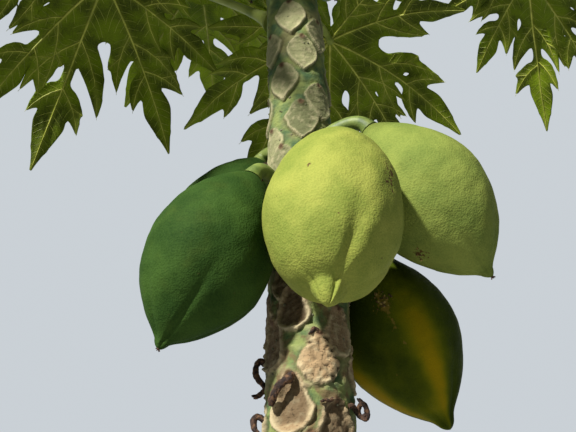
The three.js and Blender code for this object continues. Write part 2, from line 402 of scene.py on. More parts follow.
@dataclass(frozen=True)
class BladeSkin(Finish):
    """Leaf blade: green with fine mottling, paler beside the ribs."""

    deep: str
    fresh: str
    beside_rib: str
    mottle_mm: float
    cell_mm: float
    roughness: float
    specular: float
    cell_share: float = 0.25
    beside_rib_from: float = 11 * MM
    beside_rib_full: float = 1 * MM
    beside_rib_strength: float = 0.45

    def lay(self, tree: Tree) -> None:
        """Lay the finish into a material's empty tree.

        Args:
            tree: Shader tree.
        """
        # The cells between the veinlets are under 1 mm in life, and are drawn as coarse as they need to show
        clouds = grain(tree, self.mottle_mm, 2.0, (0.32, 0.68))
        cells = grain(tree, self.cell_mm, 1.0, (0.35, 0.65))
        mottled = add_node(tree, "ShaderNodeMix", {0: self.cell_share, 2: clouds, 3: cells}).outputs[0]
        rib_distance = add_node(tree, "ShaderNodeAttribute", attribute_name="rib_distance").outputs["Fac"]
        near = (self.beside_rib_from, self.beside_rib_full)
        colour = coated(
            tree,
            self.deep,
            Coat(mottled, self.fresh),
            Coat(rib_distance, self.beside_rib, near, self.beside_rib_strength),
        )
        normal = relief(tree, (cells, 0.35))
        close_shader(tree, colour, normal, Roughness=self.roughness, Specular_IOR_Level=self.specular)


@dataclass(frozen=True)
class Rind(Finish):
    """Papaya rind: dull, leathery, finely bumpy, with streaks that ripen through olive, and corky scuffs."""

    deep: str
    fresh: str
    turning: str
    ripe: str
    scuff: str
    roughness: float
    specular: float = 0.04
    pore_mm: float = 2.3
    pore_share: float = 0.3
    leather_mm: float = 12

    def lay(self, tree: Tree) -> None:
        """Lay the finish into a material's empty tree.

        Args:
            tree: Shader tree.
        """
        # The rind's pores are too fine to show, so they are drawn coarser
        clouds = grain(tree, 50, 3.0, (0.3, 0.7))
        dips = grain(tree, self.pore_mm, 1.5, (0.3, 0.66))
        mottled = add_node(tree, "ShaderNodeMix", {0: self.pore_share, 2: clouds, 3: dips}).outputs[0]
        ripeness = self.roughened(tree, "ripe", grain(tree, 34, 2.0), 0.6)
        colour = coated(
            tree,
            self.deep,
            Coat(mottled, self.fresh),
            Coat(ripeness, self.turning, (0.0, 0.7)),
            Coat(ripeness, self.ripe, (0.35, 1.15)),
            Coat(self.roughened(tree, "scuff", grain(tree, 5, 4.0), 2.2), self.scuff, (0.4, 0.7)),
        )
        normal = relief(tree, (grain(tree, self.leather_mm, 1.0), 0.8), (grain(tree, self.pore_mm, 1.5), 0.9))
        close_shader(tree, colour, normal, Roughness=self.roughness, Specular_IOR_Level=self.specular)

    def roughened(self, tree: Tree, name: str, noise: Socket, strength: float) -> Socket:
        """Add noise to an attribute, so that what it masks has an uneven edge.

        Args:
            tree: Shader tree.
            name: Name of the attribute.
            noise: Noise socket, about 0.5 on the whole.
            strength: How much the noise counts.

        Returns:
            The value socket.
        """
        value = add_node(tree, "ShaderNodeAttribute", attribute_name=name).outputs["Fac"]
        shift = add_node(tree, "ShaderNodeMath", {0: noise, 1: 0.5}, operation="SUBTRACT").outputs[0]
        inputs = {0: shift, 1: strength, 2: value}
        return add_node(tree, "ShaderNodeMath", inputs, operation="MULTIPLY_ADD").outputs[0]


@dataclass(frozen=True)
class Bark(Finish):
    """Papaya bark: soft green-grey skin, plated with corky leaf scars that turn from olive to tan with age.

    The skin turns greener above young_from and browner below foot_below, and the scars tan below old_below.
    """

    top: str
    skin_deep: str
    skin_pale: str
    moss: str
    foot: str
    scar_young: str
    scar_young_deep: str
    scar_old: str
    scar_old_deep: str
    # Tone of the pores on the scars, and of the painted shade in hollows, crevices and edge dips
    pore_and_recess_shade: str
    # Pale cork of the rims, also used for painted highlights on lower lips and fold ridges
    rim: str
    bud: str
    brown: str
    young_from: float
    old_below: float
    foot_below: float
    young_fade: float = 0.25
    old_fade: float = 0.06
    foot_fade: float = 0.7

    def lay(self, tree: Tree) -> None:
        """Lay the finish into a material's empty tree.

        Args:
            tree: Shader tree.
        """
        place = add_node(tree, "ShaderNodeTexCoord").outputs["Object"]
        height = add_node(tree, "ShaderNodeSeparateXYZ", {0: place}).outputs["Z"]
        old_from, old_full = self.old_below + self.old_fade, self.old_below - self.old_fade
        inputs = {"Value": height, "From Min": old_from, "From Max": old_full}
        age = add_node(tree, "ShaderNodeMapRange", inputs, interpolation_type="SMOOTHSTEP").outputs["Result"]
        scar, rim, bud, recess_shade, tone = (
            add_node(tree, "ShaderNodeAttribute", attribute_name=mask.value).outputs["Fac"] for mask in Mask
        )
        fine = grain(tree, 3, 4.0)
        pores = (0.54, 0.72)
        skin = coated(
            tree,
            self.skin_deep,
            Coat(grain(tree, 22), self.skin_pale, (0.32, 0.68)),
            Coat(grain(tree, 45, 2.0), self.moss, (0.5, 0.66)),
            Coat(height, self.top, (self.young_from, self.young_from + self.young_fade)),
            Coat(height, self.foot, (self.foot_below, self.foot_below - self.foot_fade)),
            Coat(grain(tree, 17), self.brown, (0.47, 0.62), 0.8, age),
        )
        young, old = (
            coated(tree, deep, Coat(tone, pale), Coat(fine, self.pore_and_recess_shade, pores, strength))
            for deep, pale, strength in (
                (self.scar_young_deep, self.scar_young, 0.35), (self.scar_old_deep, self.scar_old, 0.9),
            )
        )
        corky = coated(tree, young, Coat(age, old), Coat(grain(tree, 9), self.rim, (0.45, 0.7), 0.45))
        # Of the coats below, the rim is pale cork that is partly a painted highlight, and the last is painted
        # shade in recesses
        colour = coated(
            tree, skin, Coat(scar, corky), Coat(rim, self.rim), Coat(bud, self.bud), Coat(recess_shade, self.pore_and_recess_shade)
        )
        # Wrinkles run round the trunk, so the pattern is pressed together along its height
        wrinkles = grain(tree, 14, 4.0, stretch=(0.5, 0.5, 2.4))
        normal = relief(tree, (wrinkles, 1.6), (fine, 1.1))
        close_shader(tree, colour, normal, Roughness=0.86, Specular_IOR_Level=0.3)


# The upper face has a thin wax, so it is brighter and a little glossy; the under face is dull, and its dark
# olive is partly the blade's own tone and partly painted shade
BLADE_UPPER = BladeSkin("waxy leaf blade upper face", "#37531a", "#567226", "#7d8f3e", 60, 3.0, 0.45, 0.4)
BLADE_UNDER_IN_SHADE = BladeSkin("dull leaf blade under face", "#3b4406", "#71860c", "#8a9430", 60, 3.0, 0.6, 0.15)
# The pale under face is painted light: sunlight shining through the blade
BLADE_PAINTED_BACKLIGHT = BladeSkin("pale leaf blade under face", "#54680a", "#8fa616", "#a0ad3a", 60, 3.0, 0.6, 0.15)
YOUNG_UPPER = BladeSkin("young leaf blade upper face", "#49691f", "#67862e", "#8d9e48", 20, 3.0, 0.45, 0.4)
YOUNG_UNDER = BladeSkin("young leaf blade under face", "#3c5212", "#55701c", "#6f8030", 20, 3.0, 0.6, 0.3)
# Ribs are fibrous and smooth-skinned, a paler yellow-green than the blade, and catch the light along the leaf
RIB_SKIN = Skin("smooth pale leaf rib", ("#8e942e", "#a9ad3c", "#bfc050"), 18, 1.5, 0.1, 0.5)
VEIN_SKIN = Skin("fine leaf vein", ("#7f8a28", "#979e36", "#abaf48"), 18, 1.5, 0.1, 0.5)
# Petioles are hollow, smooth stalks, yellow-green in soft patches
PETIOLE_SKIN = Skin("smooth hollow petiole skin", ("#66742a", "#7f8c3a", "#959e4c"), 40, 2.0, 0.15, 0.48)
# Fruit stalks have a slightly rough green skin, so they look half matt
STALK_SKIN = Skin("fruit stalk skin", ("#55682a", "#6c7d36", "#869346"), 14, 1.5, 0.3, 0.55)
# Dried stubs are shrunk and fibrous, so they look dark, dull and deeply wrinkled
DRY_SKIN = Skin("dried stalk fibre", ("#24160e", "#402b1c", "#6e4e32"), 5, 1.6, 1.3, 0.85)
# Dried latex is a brown crust without shine
CRUMB_SKIN = Skin("crumb of dried latex", ("#33230f", "#6b5526", "#a48e4a"), 5, 1.0, 0.3, 0.8)
# Flower buds are pale and smooth, and stand out from the stalks round them
BUD_SKIN = Skin("flower bud skin", ("#9a9f5c", "#b5b776", "#cbc99a"), 8, 1.0, 0.1, 0.5)
# Warts on the bark are cork, grey-brown and dull
WART_SKIN = Skin("corky bark wart", ("#4f4f38", "#68664a", "#7d785c"), 5, 1.0, 0.3, 0.85)
# The rind of a young fruit is still smooth, with a soft gloss
YOUNG_RIND = Skin("young fruit rind", ("#3f5f1e", "#54752a", "#6b8a3a"), 12, 2.0, 0.3, 0.45)
# Bark is dull all over, and its pale corky scars stand out from the green-grey skin
BARK = Bark(
    "papaya bark with corky leaf scars",
    top="#6a8140", skin_deep="#465f3b", skin_pale="#828b4c", moss="#7d7a4c", foot="#625c48",
    scar_young="#9c9b6c", scar_young_deep="#6c6f48", scar_old="#a68a64", scar_old_deep="#6a573e",
    pore_and_recess_shade="#42341f", rim="#c2b48c", bud="#66452f", brown="#6e573a",
    young_from=2.42, old_below=2.0, foot_below=1.5,
)
# Rinds are leathery, so they scatter the light and have hardly any gloss. The sunlit rind is the green rind
# painted lighter for sunlight, and the deep green rind is painted darker for shade
RIND_SUNLIT = Rind("papaya rind sunlit", "#788538", "#9fa24b", "#a0983c", "#b0a040", "#5f4a2e", 0.7)
RIND_GREEN = Rind("papaya rind green", "#697937", "#8e9848", "#8a8a38", "#a09a40", "#5b4526", 0.7)
RIND_PAINTED_SHADE = Rind("papaya rind deep green", "#273f18", "#3f5924", "#66692a", "#8f8a30", "#4d3a24", 0.7)
RIND_TURNING = Rind("papaya rind turning", "#2b370a", "#414e0f", "#646a0c", "#a0860a", "#7d6a2c", 0.65)


# Meshes and pieces


def make_mesh(
    name: str,
    points: Array,
    triangles: Array,
    materials: list[bpy.types.Material],
    attributes: dict[str, Array] | None = None,
) -> Mesh:
    """Make a smooth-shaded mesh of triangles.

    Args:
        name: Name of the mesh.
        points: Points, n by 3.
        triangles: Point numbers, m by 3, counter-clockwise seen from outside.
        materials: Materials of the mesh.
        attributes: One number for each point, by name.

    Returns:
        The mesh.
    """
    mesh = bpy.data.meshes.new(name)
    triangles = np.asarray(triangles, np.int32)
    mesh.vertices.add(len(points))
    mesh.vertices.foreach_set("co", np.asarray(points, np.float32).ravel())
    mesh.loops.add(triangles.size)
    mesh.loops.foreach_set("vertex_index", triangles.ravel())
    mesh.polygons.add(len(triangles))
    mesh.polygons.foreach_set("loop_start", np.arange(0, triangles.size, 3, dtype=np.int32))
    mesh.polygons.foreach_set("use_smooth", np.ones(len(triangles), bool))
    for material in materials:
        mesh.materials.append(material)
    for label, values in (attributes or {}).items():
        layer = mesh.attributes.new(label, "FLOAT", "POINT")
        layer.data.foreach_set("value", np.asarray(values, np.float32).ravel())
    mesh.update(calc_edges=True)
    return mesh


def revolved(rows: Array, start: Array, end: Array) -> tuple[Array, Array]:
    """Close a grid of rings between two end points.

    Args:
        rows: Rings by points by 3; a ring runs counter-clockwise seen against the direction of travel.
        start: Point that closes the first ring.
        end: Point that closes the last ring.

    Returns:
        Points and outward triangles; the start point comes first and the end point last.
    """
    rings, sides = rows.shape[:2]
    points = np.vstack([start[None], rows.reshape(-1, 3), end[None]])
    number = 1 + np.arange(rings * sides).reshape(rings, sides)
    after = np.roll(number, -1, axis=1)
    last = len(points) - 1
    low, low_after = number[:-1].ravel(), after[:-1].ravel()
    high, high_after = number[1:].ravel(), after[1:].ravel()
    foot, tip = np.zeros(sides, int), np.full(sides, last)
    triangles = np.vstack([
        np.stack([foot, after[0], number[0]], 1),
        np.stack([low, low_after, high_after], 1),
        np.stack([low, high_after, high], 1),
        np.stack([number[-1], after[-1], tip], 1),
    ])
    return points, triangles


def placed(name: str, data: bpy.types.ID) -> bpy.types.Object:
    """Make an object and link it to the scene.

    Args:
        name: Name of the object.
        data: Its mesh, lamp or camera.

    Returns:
        The object.
    """
    made = bpy.data.objects.new(name, data)
    bpy.context.scene.collection.objects.link(made)
    return made


def show(name: str, mesh: Mesh, slot: Slot, *nodes: str) -> None:
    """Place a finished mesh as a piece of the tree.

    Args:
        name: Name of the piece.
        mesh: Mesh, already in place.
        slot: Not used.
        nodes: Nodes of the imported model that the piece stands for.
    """
    piece = placed(name, mesh)
    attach(piece, BODY)
    if nodes:
        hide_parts(*nodes)
    log.info("%s: %d points, %d faces", name, len(mesh.vertices), len(mesh.polygons))


# Geometry node trees


def new_geometry_tree(name: str, sockets: dict[str, str]) -> Tree:
    """Make a geometry tree with named inputs.

    Args:
        name: Name of the tree.
        sockets: Type of each input after the geometry, by name.

    Returns:
        The tree, with geometry in and out.
    """
    tree = bpy.data.node_groups.new(name, "GeometryNodeTree")
    tree.interface.new_socket("Geometry", in_out="INPUT", socket_type="NodeSocketGeometry")
    for label, kind in sockets.items():
        tree.interface.new_socket(label, in_out="INPUT", socket_type=f"NodeSocket{kind}")
    tree.interface.new_socket("Geometry", in_out="OUTPUT", socket_type="NodeSocketGeometry")
    return tree


def end_geometry_tree(tree: Tree, geometry: Socket, skin: Socket) -> None:
    """End a tree in Realize Instances and Set Material.

    Args:
        tree: Geometry tree.
        geometry: Geometry socket.
        skin: Material socket.
    """
    solid = add_node(tree, "GeometryNodeRealizeInstances", {0: geometry}).outputs[0]
    dressed = add_node(tree, "GeometryNodeSetMaterial", {"Geometry": solid, "Material": skin}).outputs[0]
    add_node(tree, "NodeGroupOutput", {0: dressed})


def tube_tree() -> Tree:
    """Make, once, the tree that turns edges with a radius at each point into closed round tubes.

    Returns:
        The tree.
    """
    name = "tubes along lines"
    if name in bpy.data.node_groups:
        return bpy.data.node_groups[name]
    made = new_geometry_tree(name, {"Sides": "Int", "Skin": "Material"})
    given = add_node(made, "NodeGroupInput").outputs
    radius = add_node(made, "GeometryNodeInputNamedAttribute", {"Name": "radius"}, data_type="FLOAT")
    line = add_node(made, "GeometryNodeMeshToCurve", {0: given["Geometry"]}).outputs[0]
    ring = add_node(made, "GeometryNodeCurvePrimitiveCircle", {"Resolution": given["Sides"], "Radius": 1.0})
    inputs = {"Curve": line, "Profile Curve": ring.outputs[0], "Scale": radius.outputs[0], "Fill Caps": True}
    tube = add_node(made, "GeometryNodeCurveToMesh", inputs).outputs[0]
    tube = add_node(made, "GeometryNodeSetShadeSmooth", {0: tube}).outputs[0]
    end_geometry_tree(made, tube, given["Skin"])
    return made


def stud_tree() -> Tree:
    """Make, once, the tree that sets a small shape on each point, aimed along the point's own direction.

    Returns:
        The tree.
    """
    name = "small shapes on points"
    if name in bpy.data.node_groups:
        return bpy.data.node_groups[name]
    sockets = {"Shape": "Object", "Least": "Float", "Greatest": "Float", "Seed": "Int", "Skin": "Material"}
    made = new_geometry_tree(name, sockets)
    given = add_node(made, "NodeGroupInput").outputs
    aim = add_node(made, "GeometryNodeInputNamedAttribute", {"Name": "aim"}, data_type="FLOAT_VECTOR")
    facing = add_node(made, "FunctionNodeAlignRotationToVector", {"Vector": aim.outputs[0]}, axis="Z")
    inputs = {2: given["Least"], 3: given["Greatest"], "Seed": given["Seed"]}
    size = add_node(made, "FunctionNodeRandomValue", inputs, data_type="FLOAT")
    shape = add_node(made, "GeometryNodeObjectInfo", {"Object": given["Shape"]})
    inputs = {
        "Points": given["Geometry"],
        "Instance": shape.outputs["Geometry"],
        "Rotation": facing.outputs[0],
        "Scale": size.outputs[1],
    }
    studs = add_node(made, "GeometryNodeInstanceOnPoints", inputs).outputs[0]
    end_geometry_tree(made, studs, given["Skin"])
    return made


def run_tree(host_mesh: Mesh, tree: Tree, inputs: dict) -> Mesh:
    """Run a geometry tree on a mesh and keep the result as a plain mesh.

    Args:
        host_mesh: Mesh that the tree starts from; it is removed.
        tree: Geometry tree.
        inputs: Value of each named input.

    Returns:
        The result.
    """
    host = placed("host", host_mesh)
    modifier = host.modifiers.new(tree.name, "NODES")
    modifier.node_group = tree
    for item in tree.interface.items_tree:
        if item.in_out == "INPUT" and item.name in inputs:
            modifier[item.identifier] = inputs[item.name]
    graph = bpy.context.evaluated_depsgraph_get()
    result = bpy.data.meshes.new_from_object(host.evaluated_get(graph))
    host.modifiers.remove(modifier)
    bpy.data.objects.remove(host)
    bpy.data.meshes.remove(host_mesh)
    return result


@dataclass
class Tubes:
    """Lines with a radius at each point, to become round closed tubes."""

    lines: list[Array] = field(default_factory=list)
    radii: list[Array] = field(default_factory=list)

    def add(self, line: Array, radius: float | Array) -> None:
        """Add a line and its radius, even or at each point."""
        self.lines.append(np.asarray(line))
        self.radii.append(np.broadcast_to(radius, len(line)))

    def mesh(self, sides: int, skin: Skin) -> Mesh:
        """Make the tubes.

        Args:
            sides: Sides of each tube.
            skin: Finish.

        Returns:
            One mesh that holds them all.
        """
        points = np.vstack(self.lines)
        numbers = np.arange(len(points))
        is_last = np.zeros(len(points), bool)
        is_last[np.cumsum([len(line) for line in self.lines]) - 1] = True
        starts = numbers[~is_last]
        host = bpy.data.meshes.new("tube lines")
        host.vertices.add(len(points))
        host.vertices.foreach_set("co", points.astype(np.float32).ravel())
        host.edges.add(len(starts))
        host.edges.foreach_set("vertices", np.stack([starts, starts + 1], 1).astype(np.int32).ravel())
        layer = host.attributes.new("radius", "FLOAT", "POINT")
        layer.data.foreach_set("value", np.concatenate(self.radii).astype(np.float32))
        host.update()
        return run_tree(host, tube_tree(), {"Sides": sides, "Skin": skin.material()})


def studded(
    points: Array, aims: Array, shape: Mesh, sizes: tuple[float, float], seed: int, skin: Skin
) -> Mesh:
    """Set a small shape on each point.

    Args:
        points: Places, n by 3.
        aims: Direction in which each shape's Z points, n by 3.
        shape: Mesh of the shape, about its own origin; it is removed.
        sizes: Least and greatest scale.
        seed: Fixes the random sizes.
        skin: Finish.

    Returns:
        One mesh that holds them all.
    """
    host = bpy.data.meshes.new("stud points")
    host.vertices.add(len(points))
    host.vertices.foreach_set("co", np.asarray(points, np.float32).ravel())
    layer = host.attributes.new("aim", "FLOAT_VECTOR", "POINT")
    layer.data.foreach_set("vector", np.asarray(aims, np.float32).ravel())
    host.update()
    pattern = placed("pattern", shape)
    least, greatest = sizes
    inputs = {"Shape": pattern, "Least": least, "Greatest": greatest, "Seed": seed, "Skin": skin.material()}
    result = run_tree(host, stud_tree(), inputs)
    bpy.data.objects.remove(pattern)
    bpy.data.meshes.remove(shape)
    return result


def turned_shape(radii_mm: tuple[float, ...], heights_mm: tuple[float, ...], sides: int) -> Mesh:
    """Make a small round shape about Z.

    Args:
        radii_mm: Radius of each ring.
        heights_mm: Height of the closing point below, of each ring, and of the closing point above.
        sides: Sides of each ring.

    Returns:
        The mesh.
    """
    angles = np.linspace(0, 2 * np.pi, sides, endpoint=False)
    circle = np.stack([np.cos(angles), np.sin(angles), 0 * angles], 1)
    rows = [radius * circle + UP * height for radius, height in zip(radii_mm, heights_mm[1:-1])]
    points, triangles = revolved(np.array(rows), UP * heights_mm[0], UP * heights_mm[-1])
    return make_mesh("small shape", points * MM, triangles, [])


# The tree's own rules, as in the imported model


@dataclass(frozen=True)
class TrunkRule:
    """Course and radius of the trunk."""

    top: float = 2.815
    foot_radius: float = 0.0904
    taper: float = 0.0195
    bow: float = 0.008
    bow_height: float = 1.750
    bow_depth: float = 0.015
    tip_lean: float = 0.047
    dome_height: float = 0.036
    flare_radius: float = 0.030
    flare_height: float = 0.090
    flare_ridges: int = 5
    flare_ridge_depth: float = 0.007

    def axis(self, height: float | Array) -> Array:
        """Work out the middle of the trunk.

        Args:
            height: Heights above the ground.

        Returns:
            A point for each height.
        """
        height = np.asarray(height, float)
        low = np.minimum(1, height / self.bow_height)
        high = np.maximum(0, height - self.bow_height) / (self.top - self.bow_height)
        x = self.bow * np.sin(np.pi * low / 2) - self.tip_lean * high**2
        return np.stack([x, self.bow_depth * np.sin(np.pi * low) ** 2, height], axis=-1)

    def radius(self, height: float | Array, azimuth: float | Array) -> Array:
        """Work out the radius of the trunk.

        Args:
            height: Heights above the ground.
            azimuth: Azimuths in degrees.

        Returns:
            A radius for each.
        """
        fade = np.exp(-np.asarray(height) / self.flare_height)
        ridge = self.flare_ridge_depth * np.cos(self.flare_ridges * np.radians(azimuth))
        return self.foot_radius - self.taper * np.asarray(height) + (self.flare_radius + ridge) * fade

    def surface(self, height: float, azimuth: float, depth: float = 0.0) -> Array:
        """Return a point of the trunk's surface, or a depth inside it."""
        return self.axis(height) + outward(azimuth) * (self.radius(height, azimuth) - depth)


TRUNK = TrunkRule()


@dataclass
class LeafPlan:
    """Place, turn and size of one leaf."""

    azimuth: float
    height: float
    growth: float
    centre: Array
    heading: float
    tilt: float
    roll: float
    spin: float
    droop: float
    reach: float
    turns: Array
    lengths: Array
    is_known: bool

    def directions(self) -> tuple[Array, Array, Array]:
        """Work out how the blade lies.

        Returns:
            Unit vectors along its middle lobe, across it, and out of its upper face.
        """
        tilt = math.radians(self.tilt)
        level = outward(self.heading)
        along = level * math.cos(tilt) - UP * math.sin(tilt)
        normal = turned(level * math.sin(tilt) + UP * math.cos(tilt), along, self.roll)
        along = turned(along, normal, self.spin)
        return along, np.cross(along, normal), normal


@dataclass(frozen=True)
class LeafSpiral:
    """Spiral on which leaves and leaf scars stand, from the oldest to the youngest."""

    divergence: float = 136.8
    rise: float = 0.0156
    scar_azimuth: float = -80.0
    scar_height: float = 2.340
    first_leaf: int = 7
    leaf_count: int = 22
    mature_share: float = 0.35
    petiole_length: float = 0.540
    petiole_shrink: float = 0.45
    petiole_rise: float = 32.0
    petiole_rise_gain: float = 48.0
    blade_reach: float = 0.425
    blade_shrink: float = 0.62
    blade_tilt: float = 35.0
    blade_tilt_loss: float = 75.0
    blade_droop: float = 0.7
    blade_droop_loss: float = 0.4
    blade_fold: float = 0.7

    def azimuth(self, number: int) -> float:
        """Return the azimuth of a leaf or scar, in degrees."""
        return self.scar_azimuth + self.divergence * number

    def height(self, number: int) -> float:
        """Return the height of a leaf or scar."""
        return self.scar_height + self.rise * number

    def plan(self, number: int) -> LeafPlan:
        """Work out one leaf.

        Args:
            number: Number on the spiral.

        Returns:
            The leaf's plan, with what is known of it from the photograph in place of the rule.
        """
        youth = (number - self.first_leaf) / (self.leaf_count - 1)
        growth = max(0.0, youth - self.mature_share) / (1 - self.mature_share)
        azimuth, height = self.azimuth(number), self.height(number)
        rise = math.radians(self.petiole_rise + self.petiole_rise_gain * youth**1.3)
        length = self.petiole_length * (1 - self.petiole_shrink * growth)
        centre = TRUNK.surface(height, azimuth) + outward(azimuth) * length * math.cos(rise)
        centre = centre + UP * length * math.sin(rise)
        known = KNOWN_LEAVES.get(number, {})
        rule = dict(
            centre=centre, heading=azimuth, tilt=self.blade_tilt - self.blade_tilt_loss * youth, roll=0.0,
            spin=0.0, droop=self.blade_droop - self.blade_droop_loss * youth,
            reach=self.blade_reach * (1 - self.blade_shrink * growth),
            turns=-self.blade_fold * growth * LOBE_ANGLES, lengths=LOBE_LENGTHS,
        )
        return LeafPlan(azimuth, height, growth, is_known="turns" in known, **{**rule, **known})


# Lobes of a blade: angle from the middle lobe in degrees, and length as a share of the reach
LOBE_ANGLES = np.array([-145.0, -108, -72, -36, 0, 36, 72, 108, 145])
LOBE_LENGTHS = np.array([0.46, 0.66, 0.84, 0.95, 1, 0.95, 0.84, 0.66, 0.46])

# Leaves whose place and lobes are known one by one, by number on the spiral
KNOWN_LEAVES = {
    7: dict(
        centre=np.array([-0.411, 0.271, 2.796]), heading=115.0, tilt=33.5, roll=-4.0, droop=0.59, reach=0.417,
        turns=np.array([0.0, 0, 0, 1, -10, 6, 3, -4, 0]),
        lengths=np.array([0.46, 0.66, 0.84, 0.92, 1.07, 0.98, 0.76, 0.66, 0.46]),
    ),
    9: dict(
        centre=np.array([0.076, 0.423, 2.759]), heading=91.0, tilt=33.0, roll=-2.0, spin=-1.0, droop=0.77,
        reach=0.426, turns=np.array([0.0, 0, -3, -3, 0, 4, -5, 6, 0]),
        lengths=np.array([0.46, 0.66, 0.93, 0.95, 0.95, 0.79, 0.88, 0.72, 0.46]),
    ),
    12: dict(centre=np.array([-0.220, 0.360, 2.885]), heading=125.0, tilt=4.0, droop=0.5, reach=0.400),
    14: dict(
        centre=np.array([0.555, 0.421, 2.959]), heading=25.0, tilt=37.0, roll=6.0, spin=8.0, droop=0.63,
        reach=0.397, turns=np.array([0.0, 0, -1, 0, -1, 0, 0, 0, 0]),
        lengths=np.array([0.46, 0.66, 0.75, 1.01, 0.87, 0.95, 0.84, 0.66, 0.46]),
    ),
}
SPIRAL = LeafSpiral()
# Leaves whose under face is painted paler, as if sunlight shone through it, by number of their node
BACKLIT_LEAVES = (2, 5, 6, 10, 11, 14)


# Leaves


@dataclass
class Rib:
    """One rib of a blade, laid flat, with the green beside it."""

    line: Array
    half_width: float
    outline: Outline
    foot_radius: float = 0.0
    tip_radius: float = 0.0

    def shares(self) -> Array:
        """Return each point's share of the rib's length."""
        steps = np.linalg.norm(np.diff(self.line, axis=0), axis=1)
        return np.concatenate([[0.0], np.cumsum(steps)]) / steps.sum()

    def length(self) -> float:
        """Return the rib's length."""
        return float(np.linalg.norm(np.diff(self.line, axis=0), axis=1).sum())

    def width_at(self, share: Array) -> Array:
        """Work out how far the green reaches beside the rib.

        Args:
            share: Shares of the rib's length.

        Returns:
            The width on one side, for each share.
        """
        if self.outline is Outline.WEB:
            return self.half_width * np.minimum(1.0, 4.0 * (1.0 - share))
        widest = 0.36
        opening = 0.55 + 0.45 * np.sin(np.pi / 2 * np.clip(share / widest, 0, 1))
        closing = 1 - np.clip((share - widest) / (1 - widest), 0, 1) ** 1.25
        return self.half_width * opening * closing


